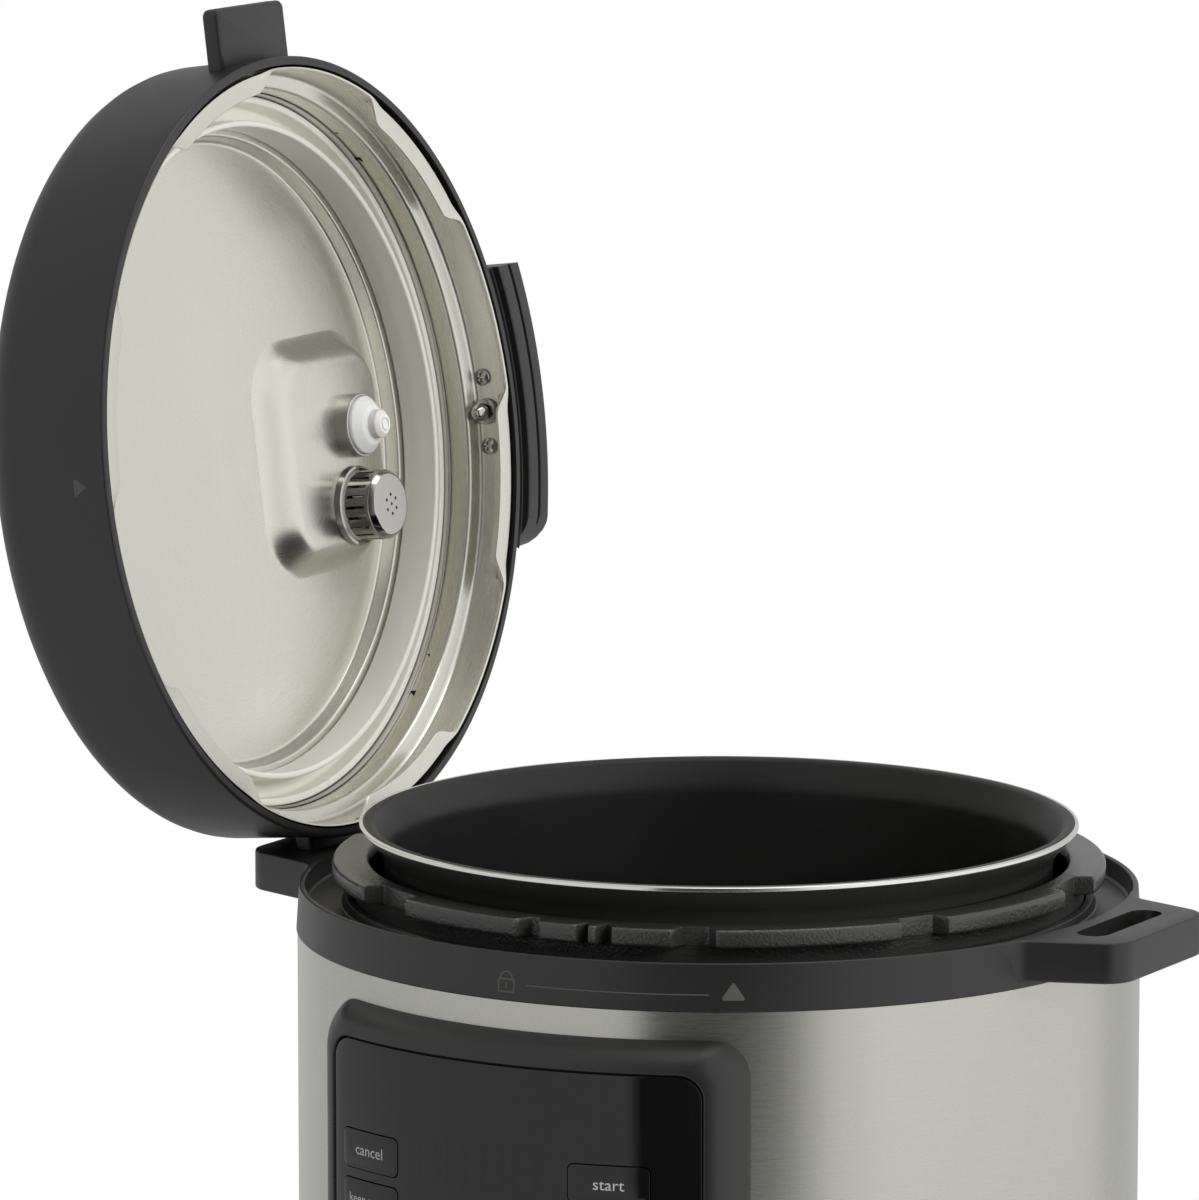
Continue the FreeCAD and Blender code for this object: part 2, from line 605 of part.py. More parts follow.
grip_ring = turned("grip_ring", [
    ("lid_radius + 0.1", "grip_low + 5"), ("lid_radius + 9", "grip_low + 5"), ("lid_radius + 10", "grip_low"),
    ("grip_reach - 2", "grip_low"), ("grip_reach", "grip_low + 2"), ("grip_reach - 3", "grip_high - 5"),
    ("grip_reach - 9", "grip_high"), ("lid_radius + 0.1", "grip_high")])
grip_ends = box("grip_ends", ("-57", "51"), ("100", "180"), ("-10", "40"))
grip_bore = rod_along_y("grip_bore", "5.2", "pin_x", "pin_level", "140", "158")
node(cut("grip", common("grip_whole", grip_ring, grip_ends), grip_bore), "lid_grip", in_lid=True)

# ---------------------------------------------------------------- lid: pressed steel shell and its fittings
shell_form = turned("shell_form", [
    ("0", "shell_panel"), ("shell_panel_radius", "shell_panel"), ("shell_panel_radius + 1.2", "seat_level"),
    ("channel_radius", "seat_level"), ("channel_radius", "step_level + 1.4"), ("strip_radius", "step_level - 0.4"),
    ("strip_radius", "strip_low"), ("strip_radius + shell_wall", "strip_low"),
    ("strip_radius + shell_wall", "step_level + 0.3"), ("channel_radius + shell_wall", "step_level + 2"),
    ("channel_radius + shell_wall", "seat_level + shell_wall"),
    ("shell_panel_radius + 1.2 + shell_wall", "seat_level + shell_wall"),
    ("shell_panel_radius + 0.7", "shell_panel + shell_wall"), ("0", "shell_panel + shell_wall")])
lip_ring = turned("lid_lip_ring", [
    ("lid_lug_radius", "lid_lug_level"), ("strip_radius + 0.4", "lid_lug_level"),
    ("strip_radius + 0.4", "lid_lug_level + 1"), ("lid_lug_radius", "lid_lug_level + 1")])
LID_LUG_SWEEP = 28
LID_LUG_STARTS = [29.5 + 60 * count for count in range(6)]
lug_rests = [sector(f"lid_lug_rest{count}", "lid_radius", "0", "lid_lug_level + 3", start + LID_LUG_SWEEP,
                    60 - LID_LUG_SWEEP) for count, start in enumerate(LID_LUG_STARTS)]
notches = [sector(f"lid_notch{count}", "lid_radius", "-1", "lid_lug_level", start, LID_LUG_SWEEP)
           for count, start in enumerate(LID_LUG_STARTS)]
pad = primitive("Wedge", "shell_pad", Ymin=0, Ymax="shell_panel + 0.2 - pad_level", Xmin=-50, Xmax=34, X2min=-42,
                X2max=26, Zmin=24, Zmax=100, Z2min=38, Z2max=96)
# the wedge rises along its own Y axis, which is turned to point down, towards the pot
pad.Placement = FreeCAD.Placement(Vector(0, 0, 0), FreeCAD.Rotation(Vector(1, 0, 0), Vector(0, 0, -1), Vector(0, 1, 0)))
bind(pad, Placement__Base__z="shell_panel + 0.2")
shell_valve_hole = rod("shell_valve_hole", "4.4", 0, "valve_y", "30", "60")
shell_exhaust_hole = rod("shell_exhaust_hole", "5.3", "exhaust_x", "exhaust_y", "30", "60")
shell_pin_hole = rod_along_y("shell_pin_hole", "3.6", "pin_x", "pin_level", "130", "145")
strip_cut = cut("shell_cut", shell_form, *notches)
lips = cut("lid_lips", lip_ring, *lug_rests)
shell = cut("lid_shell_form", fuse("shell_whole", strip_cut, lips, pad), shell_valve_hole, shell_exhaust_hole,
            shell_pin_hole)
node(shell, "lid_shell", in_lid=True)

node(turned("seal_form", [
    ("118.2", "seat_level - 0.1"), ("130.2", "seat_level - 0.1"), ("130.2", "26.4"), ("127.6", "26.4"),
    ("127.2", "33.5"), ("121", "33.5"), ("120.6", "22.8"), ("118.4", "22.8")]), "sealing_ring", in_lid=True)
rack_ring = turned("rack_ring", [
    ("130.4", "24"), ("131.3", "24"), ("131.3", "seat_level - 0.2"), ("130.4", "seat_level - 0.2")])
rack_windows = []
for count in range(4):
    rack_windows.append(sector(f"rack_window{count}", "135", "20", "25.5", 30 + 90 * count, 10))
node(cut("rack", rack_ring, *rack_windows), "gasket_rack", in_lid=True)


node(turned("collar_form", [("11", "29"), ("12", "29"), ("12", "pad_level"), ("11", "pad_level")],
                 "0", "valve_y"), "float_collar", in_lid=True)
node(turned("float_cap_form", [
    ("0", "19.7"), ("3.6", "19.7"), ("5.2", "21"), ("5.2", "24.2"), ("7.4", "25"), ("10.7", "28"),
    ("10.7", "29.6"), ("0", "29.6")], "0", "valve_y"), "float_cap", in_lid=True)
node(turned("float_pin_form", [("0", "29.6"), ("3.8", "29.6"), ("3.8", "57"), ("2.8", "58"), ("0", "58")],
                 "0", "valve_y"), "float_valve", in_lid=True)

node(turned("stem_form", [
    ("1.6", "25"), ("5", "25"), ("5", "62"), ("3.4", "66"), ("1.6", "66")], "exhaust_x", "exhaust_y"),
    "exhaust_stem", in_lid=True)
nut_block = doc.addObject("Part::Prism", "nut_block")
nut_block.Polygon = 6
nut_block.Circumradius = 9
bind(nut_block, Height="3.8")
place(nut_block, "exhaust_x", "exhaust_y", "pad_level - 3.9")
nut_bore = rod("nut_bore", "5.05", "exhaust_x", "exhaust_y", "20", "40")
node(cut("nut", nut_block, nut_bore), "exhaust_nut", in_lid=True)

shield_slots = []
for count in range(10):
    blade = primitive("Box", f"shield_slot{count}", Length="40", Width="1.3", Height="8")
    angle = 18 * count
    direction = FreeCAD.Rotation(Vector(0, 0, 1), angle).multVec(Vector(-20, -0.65, 0))
    place(blade, f"exhaust_x + ({direction.x})", f"exhaust_y + ({direction.y})", "24.5", angle=angle)
    shield_slots.append(blade)
shield_holes = [rod("shield_hole_middle", "0.7", "exhaust_x", "exhaust_y", "15", "22")]
for count in range(6):
    angle = math.radians(60 * count)
    shield_holes.append(rod(f"shield_hole{count}", "0.7", f"exhaust_x + 3.6 * ({math.cos(angle)})",
                            f"exhaust_y + 3.6 * ({math.sin(angle)})", "15", "22"))
shield_cup = turned("shield_form", [
    ("0", "19.2"), ("11", "19.6"), ("13.1", "21.5"), ("13.1", "33.8"), ("15.3", "34.2"), ("15.3", "pad_level"),
    ("12.3", "pad_level"), ("12.3", "22"), ("10.6", "20.4"), ("0", "20")], "exhaust_x", "exhaust_y")
node(cut("shield", shield_cup, *shield_slots, *shield_holes), "anti_block_shield", in_lid=True)

knob_cap = turned("knob_form", [
    ("5.4", "57.5"), ("13", "57.5"), ("13.6", "62"), ("11", "70"), ("0", "71"), ("0", "67"), ("5.4", "67")],
    "exhaust_x", "exhaust_y")
knob_lever = box("knob_lever", ("exhaust_x - 30", "exhaust_x - 6"), ("exhaust_y - 5", "exhaust_y + 5"),
                 ("60", "68"))
node(fuse("knob_whole", knob_cap, knob_lever), "steam_release_knob", in_lid=True)

pin_rod = rod_along_y("pin_rod", "pin_radius", "pin_x", "pin_level", "131.4", "148")
pin_ball = place(primitive("Sphere", "pin_ball", Radius="pin_radius + 0.4"), "pin_x", "131.4", "pin_level")
node(fuse("pin_whole", pin_rod, pin_ball), "locking_pin", in_lid=True)
bush_tube = rod_along_y("bush_tube", "4", "pin_x", "pin_level", "135", "137")
bush_bore = rod_along_y("bush_bore", "pin_radius + 0.6", "pin_x", "pin_level", "130", "140")
node(cut("bush", bush_tube, bush_bore), "pin_bush", in_lid=True)
spring_tube = rod_along_y("spring_tube", "4", "pin_x", "pin_level", "148", "158")
spring_bore = rod_along_y("spring_bore", "3", "pin_x", "pin_level", "140", "160")
node(cut("spring", spring_tube, spring_bore), "pin_spring", in_lid=True)

lid_heads = []
for count, angle in enumerate((85.8, 96.8)):
    head = primitive("Cylinder", f"lid_screw{count}", Radius="3.2", Height="1.4")
    turn = FreeCAD.Rotation(Vector(0, 0, 1), angle - 90).multiply(FreeCAD.Rotation(Vector(1, 0, 0), -90))
    head.Placement = FreeCAD.Placement(Vector(0, 0, 0), turn)
    bind(head, Placement__Base__x=f"(strip_radius - 1.5) * ({math.cos(math.radians(angle))})",
         Placement__Base__y=f"(strip_radius - 1.5) * ({math.sin(math.radians(angle))})",
         Placement__Base__z="pin_level")
    lid_heads.append(head)
node(group("lid_screw_group", *lid_heads), "lid_screws", in_lid=True)

# ---------------------------------------------------------------- check and write
doc.recompute()
faults = [item.Name for item in doc.Objects if {"Invalid", "Error"} & set(item.State)]
for piece in NODES:
    if piece.Shape.isNull() or not piece.Shape.isValid():
        faults.append(piece.Label)
if faults:
    raise SystemExit("not built: " + ", ".join(faults))

os.makedirs("parts", exist_ok=True)
for piece in NODES:
    piece.Shape.exportStep(f"parts/{piece.Label}.step")
print(len(NODES), "pieces written")
for piece in NODES:
    span = piece.Shape.BoundBox
    print(f"{piece.Label:22s} solids {len(piece.Shape.Solids)} volume {piece.Shape.Volume / 1000:9.2f} cm3 "
          f"x {span.XMin:.1f}..{span.XMax:.1f} y {span.YMin:.1f}..{span.YMax:.1f} z {span.ZMin:.1f}..{span.ZMax:.1f}")
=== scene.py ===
# %% [markdown]
# # An electric pressure cooker, dressed around its CAD frame
# The engineering model gives every piece its place and size. This notebook keeps those places and adds
# what a camera sees: rolled edges, brushed metal, moulded plastic, print and glass.
# The frame comes first, because each new piece is made where the frame says and rides on one of its bodies.

import math

import bmesh
import bpy
from mathutils import Matrix, Vector
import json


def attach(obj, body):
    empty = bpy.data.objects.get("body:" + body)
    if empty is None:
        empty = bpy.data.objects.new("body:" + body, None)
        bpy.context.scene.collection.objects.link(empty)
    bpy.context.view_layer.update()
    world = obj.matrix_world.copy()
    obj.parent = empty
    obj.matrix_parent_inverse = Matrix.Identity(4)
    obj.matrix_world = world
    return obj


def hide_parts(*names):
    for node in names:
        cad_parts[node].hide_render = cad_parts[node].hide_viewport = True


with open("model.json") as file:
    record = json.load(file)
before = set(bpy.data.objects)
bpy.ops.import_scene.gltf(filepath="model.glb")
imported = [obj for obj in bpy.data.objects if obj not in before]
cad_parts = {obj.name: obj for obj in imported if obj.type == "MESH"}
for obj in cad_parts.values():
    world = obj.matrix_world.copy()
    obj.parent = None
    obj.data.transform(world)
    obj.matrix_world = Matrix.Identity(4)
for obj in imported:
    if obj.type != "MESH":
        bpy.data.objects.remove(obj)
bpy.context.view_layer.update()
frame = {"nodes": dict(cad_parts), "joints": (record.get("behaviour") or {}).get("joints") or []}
NODES = frame["nodes"]
print("CAD nodes:", len(NODES))

# %% [markdown]
# ## Driving sizes
# The drum is a body of revolution about Z, so most sizes are a radius or a height. They are kept in
# millimetres, which are easy to read beside a drawing, and each piece is scaled to metres once, at its end.
# The lid has a frame of its own: its rim is the plane z = 0, its thumb grip points along +Y and its fins
# along X. The joint that lifts the lid gives the direction in which the parked lid stands.

# %% Sizes in millimetres
METRES = 0.001
DRUM = 150.6
RING_LOW, RING_HIGH = 235.0, 251.7
RING_WALL_LOW, RING_WALL_HIGH = 151.0, 149.9
PANEL_MIDDLE = 156.5
PANEL_FACE = 162.0
KEY_ROWS = (176.0, 158.5, 141.0)
KEY_COLUMNS = (-51.5, 40.7)
KEY_SIZE = (27.0, 13.6)
LID_CENTRE = Vector((-166.2, 0, 396.5))
VALVE = (0.0, 78.5)
EXHAUST = (-30.0, 76.0)
PIN = (-3.0, 10.5)

lift = next(joint for joint in frame["joints"] if joint["name"] == "lid_lift")
lid_up = Vector(lift["axis"])
lid_side = Vector((0, 1, 0))
lid_out = lid_up.cross(lid_side)
LID = Matrix.Translation(LID_CENTRE) @ Matrix((lid_up, lid_side, lid_out)).transposed().to_4x4()
print("the lid leans", round(math.degrees(math.acos(lid_up.z)), 2), "degrees")

# %% [markdown]
# ## Camera
# A long lens from a few metres away keeps the drum's sides almost parallel. The camera stands a little to
# the right of the panel and looks slightly down into the pot.

# %% Camera
FOCAL_LENGTH = 256.3
CAMERA_PLACE = (1.4476, -2.6278, 0.8355)
CAMERA_AIM = Vector((-0.4886, 0.8579, -0.1588))

camera_data = bpy.data.cameras.new("camera")
camera_data.sensor_width = 36
camera_data.lens = FOCAL_LENGTH
camera_data.clip_end = 60
camera = bpy.data.objects.new("camera", camera_data)
camera.location = CAMERA_PLACE
camera.rotation_euler = CAMERA_AIM.to_track_quat("-Z", "Y").to_euler()
bpy.context.scene.collection.objects.link(camera)
bpy.context.scene.camera = camera

# %% [markdown]
# ## Shared effects
# Brushed metal, moulded grain and cast skin each appear on several pieces. Each is a node group with named
# inputs, so one recipe serves every material, and the material decides how strong it is.
# The brushing runs round an axis. Stretching a noise along the circle, and squeezing it across, gives
# the fine lines that a belt or a lathe leaves. The group also gives the direction of the lines, because
# brushed metal smears its reflections across them.

# %% Node helpers
def wire(tree, outlet, inlet):
    tree.links.new(outlet, inlet)


def maths(tree, operation, first, second=None):
    """A maths node. Each operand is a number or another node's output."""
    step = tree.nodes.new("ShaderNodeMath")
    step.operation = operation
    for place, operand in enumerate((first, second)):
        if operand is None:
            continue
        if isinstance(operand, (int, float)):
            step.inputs[place].default_value = operand
        else:
            wire(tree, operand, step.inputs[place])
    return step.outputs[0]


def ranged(tree, value, given, wanted):
    """A value moved from one range to another, and held at its ends."""
    step = tree.nodes.new("ShaderNodeMapRange")
    for socket, end in zip(("From Min", "From Max", "To Min", "To Max"), (*given, *wanted)):
        step.inputs[socket].default_value = end
    wire(tree, value, step.inputs["Value"])
    return step.outputs[0]


def new_group(name, inputs, outputs):
    """A node group. Its inputs are floats or vectors, and so are its outputs."""
    group = bpy.data.node_groups.new(name, "ShaderNodeTree")
    for label, kind, value in inputs:
        socket = group.interface.new_socket(name=label, in_out="INPUT", socket_type=kind)
        if value is not None:
            socket.default_value = value
    for label, kind in outputs:
        group.interface.new_socket(name=label, in_out="OUTPUT", socket_type=kind)
    return group, group.nodes.new("NodeGroupInput"), group.nodes.new("NodeGroupOutput")


# %% Brushing round an axis
brushing, given, result = new_group(
    "brushing",
    [("Vector", "NodeSocketVector", None), ("Around", "NodeSocketFloat", 9),
     ("Across", "NodeSocketFloat", 5200)],
    [("Lines", "NodeSocketFloat"), ("Direction", "NodeSocketVector")])
parts = brushing.nodes.new("ShaderNodeSeparateXYZ")
wire(brushing, given.outputs["Vector"], parts.inputs[0])
east, north, up = parts.outputs
squares = maths(brushing, "ADD", maths(brushing, "MULTIPLY", east, east),
                maths(brushing, "MULTIPLY", north, north))
radius = maths(brushing, "SQRT", maths(brushing, "ADD", squares, 1e-8))
stretched = brushing.nodes.new("ShaderNodeCombineXYZ")
for inlet, axis in ((0, east), (1, north)):
    turn = maths(brushing, "DIVIDE", axis, radius)
    wire(brushing, maths(brushing, "MULTIPLY", turn, given.outputs["Around"]), stretched.inputs[inlet])
level = maths(brushing, "MULTIPLY", maths(brushing, "ADD", radius, up), given.outputs["Across"])
wire(brushing, level, stretched.inputs[2])
lines = brushing.nodes.new("ShaderNodeTexNoise")
lines.inputs["Scale"].default_value = 1
lines.inputs["Detail"].default_value = 3
wire(brushing, stretched.outputs[0], lines.inputs["Vector"])
wire(brushing, lines.outputs[0], result.inputs["Lines"])
along = brushing.nodes.new("ShaderNodeCombineXYZ")
wire(brushing, maths(brushing, "MULTIPLY", north, -1), along.inputs[0])
wire(brushing, east, along.inputs[1])
wire(brushing, along.outputs[0], result.inputs["Direction"])

# %% Moulded and cast grain
grain, given, result = new_group(
    "grain",
    [("Vector", "NodeSocketVector", None), ("Size", "NodeSocketFloat", 2200),
     ("Softness", "NodeSocketFloat", 0.5)],
    [("Height", "NodeSocketFloat"), ("Patches", "NodeSocketFloat")])
pits = grain.nodes.new("ShaderNodeTexNoise")
pits.inputs["Detail"].default_value = 4
wire(grain, given.outputs["Vector"], pits.inputs["Vector"])
wire(grain, given.outputs["Size"], pits.inputs["Scale"])
wire(grain, given.outputs["Softness"], pits.inputs["Roughness"])
wire(grain, pits.outputs[0], result.inputs["Height"])
patches = grain.nodes.new("ShaderNodeTexNoise")
patches.inputs["Scale"].default_value = 18
patches.inputs["Detail"].default_value = 3
wire(grain, given.outputs["Vector"], patches.inputs["Vector"])
wire(grain, patches.outputs[0], result.inputs["Patches"])

# %% [markdown]
# ## Finishes
# Every material is a Principled shader with one effect in front of it: the effect moves the base colour and
# the roughness a little, and its height feeds a Bump node. A perfectly even surface looks like a rendering,
# so even the glossiest piece gets some variation. Values that don't vary sit on the shader's own sockets.

# %% Material helper
FINISHES = {}
NOISE_SPAN = (0.3, 0.7)
BRUSH_DEPTH = 0.00002
COLOUR_A, COLOUR_B, COLOUR_RESULT = 6, 7, 2


def finish(name, colour, roughness, effect, height, vary, bump, depth, place, contrast, settings,
           **sockets):
    """A finish: colour and roughness moved by an effect's mask, and bumped by its height."""
    material = bpy.data.materials.new(name)
    material.use_nodes = True
    tree = material.node_tree
    shader = tree.nodes["Principled BSDF"]
    for socket, value in sockets.items():
        shader.inputs[socket.replace("_", " ")].default_value = value
    coordinates = tree.nodes.new("ShaderNodeTexCoord").outputs["Object"]
    if place is not None:
        mapping = tree.nodes.new("ShaderNodeMapping")
        inverse = place.inverted()
        mapping.inputs["Location"].default_value = inverse.to_translation() * METRES
        mapping.inputs["Rotation"].default_value = inverse.to_euler()
        wire(tree, coordinates, mapping.inputs["Vector"])
        coordinates = mapping.outputs[0]
    group = tree.nodes.new("ShaderNodeGroup")
    group.node_tree = effect
    wire(tree, coordinates, group.inputs["Vector"])
    for socket, value in settings:
        group.inputs[socket].default_value = value
    mix = tree.nodes.new("ShaderNodeMix")
    mix.data_type = "RGBA"
    mix.inputs[COLOUR_A].default_value = (*[channel * (1 - contrast) for channel in colour], 1)
    mix.inputs[COLOUR_B].default_value = (*[min(1, channel * (1 + contrast)) for channel in colour], 1)
    wire(tree, ranged(tree, group.outputs[vary], NOISE_SPAN, (0, 1)), mix.inputs[0])
    wire(tree, mix.outputs[COLOUR_RESULT], shader.inputs["Base Color"])
    wire(tree, ranged(tree, group.outputs[vary], NOISE_SPAN, roughness), shader.inputs["Roughness"])
    relief = tree.nodes.new("ShaderNodeBump")
    relief.inputs["Strength"].default_value = bump
    relief.inputs["Distance"].default_value = depth
    wire(tree, group.outputs[height], relief.inputs["Height"])
    wire(tree, relief.outputs[0], shader.inputs["Normal"])
    if effect is brushing:
        lines = group.outputs["Direction"]
        if place is not None:
            back = tree.nodes.new("ShaderNodeMapping")
            back.vector_type = "VECTOR"
            back.inputs["Rotation"].default_value = place.to_euler()
            wire(tree, lines, back.inputs["Vector"])
            lines = back.outputs[0]
        world_lines = tree.nodes.new("ShaderNodeVectorTransform")
        world_lines.convert_from, world_lines.convert_to = "OBJECT", "WORLD"
        wire(tree, lines, world_lines.inputs[0])
        wire(tree, world_lines.outputs[0], shader.inputs["Tangent"])
    FINISHES[name] = material


def metal(name, colour, roughness, place=None, bump=0.06, contrast=0.04, smear=0.0, across=5200):
    """A brushed metal. Its smear is how far reflections spread across the lines."""
    finish(name, colour, roughness, brushing, "Lines", "Lines", bump, BRUSH_DEPTH, place, contrast,
           [("Across", across)], Metallic=1.0, Anisotropic=smear, Anisotropic_Rotation=0.25)


def plastic(name, colour, roughness, size=2200, bump=0.2, depth=0.00003, contrast=0.1, **sockets):
    """A moulded, cast or coated finish. Its size is how many grains there are in a metre."""
    finish(name, colour, roughness, grain, "Height", "Patches", bump, depth, None, contrast,
           [("Size", size)], **sockets)


# %% Metals
metal("sleeve_steel", (0.57, 0.565, 0.52), (0.26, 0.30), bump=0.045, smear=0.75, contrast=0.03,
      across=4200)
metal("lid_steel", (0.76, 0.75, 0.68), (0.26, 0.31), LID, bump=0.035, smear=0.5, contrast=0.02)
metal("small_steel", (0.55, 0.54, 0.51), (0.14, 0.24))
metal("shield_steel", (0.52, 0.51, 0.48), (0.10, 0.18), LID @ Matrix.Translation((*EXHAUST, 0)), smear=0.3)
metal("housing_metal", (0.38, 0.38, 0.39), (0.4, 0.55))
metal("plate_metal", (0.48, 0.48, 0.48), (0.34, 0.48), across=2600)
metal("element_metal", (0.22, 0.21, 0.2), (0.45, 0.6))
metal("collar_steel", (0.66, 0.65, 0.61), (0.32, 0.42))
metal("rim_edge", (0.86, 0.86, 0.83), (0.12, 0.2))

# %% Plastics, coatings and rubber
DULL = {"Specular_IOR_Level": 0.33}
plastic("black_plastic", (0.0095, 0.0093, 0.0088), (0.38, 0.47), size=3000, bump=0.12,
        Specular_IOR_Level=0.66)
# A darker, duller copy of the black plastic: painted shade, for the dark under the thumb grip and in the
# seal hoop's notches.
plastic("painted_shade_plastic", (0.005, 0.005, 0.005), (0.5, 0.6), size=3000, bump=0.12,
        Specular_IOR_Level=0.2)
plastic("panel_plastic", (0.0125, 0.0124, 0.012), (0.34, 0.42), size=3400, bump=0.06,
        Specular_IOR_Level=0.6)
plastic("window_film", (0.0042, 0.0042, 0.0048), (0.035, 0.05), size=300, bump=0.004,
        Specular_IOR_Level=0.56)
plastic("key_plastic", (0.0042, 0.0042, 0.0048), (0.07, 0.10), size=600, bump=0.01,
        Specular_IOR_Level=0.56)
plastic("cast_black", (0.034, 0.0335, 0.032), (0.20, 0.30), size=900, bump=0.7, depth=0.0004,
        Specular_IOR_Level=0.7)
plastic("pot_metal", (0.0085, 0.0083, 0.0080), (0.42, 0.52), size=2600, bump=0.14,
        Specular_IOR_Level=0.45)
# A lighter, glossier copy of the pot's coating: painted sheen for the outside of the pot's neck.
plastic("pot_neck_painted_sheen", (0.034, 0.0335, 0.032), (0.22, 0.30), size=2600, bump=0.12)
plastic("foot_rubber", (0.012, 0.012, 0.012), (0.7, 0.85), size=1500, **DULL)
plastic("knob_plastic", (0.010, 0.010, 0.0095), (0.38, 0.48), size=2600, bump=0.1, **DULL)
plastic("board", (0.02, 0.12, 0.05), (0.35, 0.5), size=900)
plastic("print_grey", (0.095, 0.093, 0.087), (0.45, 0.55), size=4000, bump=0.02, **DULL)
plastic("print_white", (0.55, 0.55, 0.53), (0.4, 0.5), size=4000, bump=0.02)
plastic("ghost_digit", (0.0085, 0.0085, 0.009), (0.16, 0.22), size=4000, bump=0.01)
plastic("silicone", (0.98, 0.965, 0.88), (0.20, 0.28), size=700, bump=0.03, contrast=0.02, IOR=1.38,
        Transmission_Weight=0.2)
plastic("valve_silicone", (0.84, 0.845, 0.82), (0.34, 0.44), size=900, bump=0.05, contrast=0.03,
        Subsurface_Weight=0.2, Subsurface_Scale=0.003)
plastic("cup_plastic", (0.62, 0.65, 0.67), (0.14, 0.22), size=800, bump=0.03, IOR=1.5,
        Transmission_Weight=0.7)
print("finishes:", len(FINISHES))

# %% [markdown]
# ## How a piece is made
# A turned part starts as half of its section: a few points, some of them with a corner radius. The corners
# become arcs, the outline becomes edges, and the spin operator sweeps them round Z. Straight-sided parts
# start from the same kind of outline, filled and extruded. Openings are cut with a Boolean, which is how a
# drill or a punch works too. Every finished piece is moved to its place, smoothed where it is round, and
# given a body to ride on.

# %% Outlines with rounded corners
def softened(corners):
    """Points of an outline. A corner is (across, up) or (across, up, radius)."""
    points = []
    for place, corner in enumerate(corners):
        here = Vector(corner[:2])
        if len(corner) < 3:
            points.append(here)
            continue
        before = Vector(corners[place - 1][:2]) - here
        after = Vector(corners[(place + 1) % len(corners)][:2]) - here
        half = before.angle(after) / 2
        reach = corner[2] / math.tan(half)
        middle = here + (before.normalized() + after.normalized()).normalized() * corner[2] / math.sin(half)
        first = here + before.normalized() * reach - middle
        last = here + after.normalized() * reach - middle
        steps = max(3, round(math.degrees(first.angle(last)) / 11))
        swing = first.angle_signed(last)
        points += [middle + Matrix.Rotation(-swing * step / steps, 2) @ first for step in range(steps + 1)]
    return points


# %% Spinning, filling and raising
def capped(bm):
    """Closes every open edge with a face."""
    bmesh.ops.holes_fill(bm, edges=[edge for edge in bm.edges if edge.is_boundary], sides=0)


def sliced(bm, point, normal, **options):
    """Cuts every face along a plane."""
    geometry = list(bm.verts) + list(bm.edges) + list(bm.faces)
    bmesh.ops.bisect_plane(bm, geom=geometry, dist=0.001, plane_co=point, plane_no=normal, **options)


def spun(corners, steps=256, closed=True, start=0.0, sweep=360.0):
    """A part turned about Z from (radius, height) corners."""
    bm = bmesh.new()
    ring = [bm.verts.new((across, 0, up)) for across, up in softened(corners)]
    pairs = list(zip(ring, ring[1:])) + ([(ring[-1], ring[0])] if closed else [])
    edges = [bm.edges.new(pair) for pair in pairs]
    bmesh.ops.rotate(bm, verts=ring, cent=(0, 0, 0), matrix=Matrix.Rotation(math.radians(start), 3, "Z"))
    bmesh.ops.spin(bm, geom=ring + edges, cent=(0, 0, 0), axis=(0, 0, 1), angle=math.radians(sweep),
                   steps=steps, use_merge=sweep == 360)
    bmesh.ops.remove_doubles(bm, verts=bm.verts, dist=0.002)
    loose = [edge for edge in bm.edges if not edge.link_faces]
    bmesh.ops.delete(bm, geom=loose, context="EDGES")
    if sweep < 360:
        capped(bm)
    bmesh.ops.recalc_face_normals(bm, faces=bm.faces)
    return bm


def plate(corners, low, high, edge=0.0, segments=3):
    """A plate raised between two levels from an outline, with its top and bottom edges rounded."""
    bm = bmesh.new()
    face = bm.faces.new([bm.verts.new((across, up, low)) for across, up in softened(corners)])
    raised = bmesh.ops.extrude_face_region(bm, geom=[face])["geom"]
    lifted = [item for item in raised if isinstance(item, bmesh.types.BMVert)]
    bmesh.ops.translate(bm, verts=lifted, vec=(0, 0, high - low))
    if not any(item is face for item in bm.faces):
        capped(bm)
    bmesh.ops.recalc_face_normals(bm, faces=bm.faces)
    if edge:
        rims = [rim for rim in bm.edges if abs(rim.verts[0].co.z - rim.verts[1].co.z) < 1e-4]
        bmesh.ops.bevel(bm, geom=rims, offset=edge, affect="EDGES", segments=segments, profile=0.5,
                        material=-1)
    return bm


def rod(radius, low, high, steps=40):
    """A round bar about Z, which is mostly used as a drill."""
    return spun([(0, low), (radius, low), (radius, high), (0, high)], steps=steps)


def lofted(loops, ring=False):
    """Skins a stack of rounded rectangles, each (across, up, corner, level) and maybe its middle. A ring
    joins the last loop with the first one, and otherwise both ends are filled."""
    bm = bmesh.new()
    rows = []
    for across, up, corner, level, *middle in loops:
        shift = Vector(middle or (0, 0))
        row = [bm.verts.new((*(point + shift), level)) for point in softened(oblong(across, up, corner))]
        rows.append([bm.edges.new(pair) for pair in zip(row, row[1:] + row[:1])])
    for lower, upper in zip(rows, rows[1:] + (rows[:1] if ring else [])):
        bmesh.ops.bridge_loops(bm, edges=lower + upper)
    if not ring:
        capped(bm)
    bmesh.ops.recalc_face_normals(bm, faces=bm.faces)
    return bm


def oblong(across, up, corner):
    """Corners of a rounded rectangle about the origin."""
    return [(-across / 2, -up / 2, corner), (across / 2, -up / 2, corner), (across / 2, up / 2, corner),
            (-across / 2, up / 2, corner)]


def moved(bm, *vector):
    """The same mesh, shifted."""
    bmesh.ops.translate(bm, verts=bm.verts, vec=vector)
    return bm


def turned(bm, degrees, axis):
    """The same mesh, turned about an axis through the origin."""
    rotation = Matrix.Rotation(math.radians(degrees), 3, axis)
    bmesh.ops.rotate(bm, verts=bm.verts, cent=(0, 0, 0), matrix=rotation)
    return bm


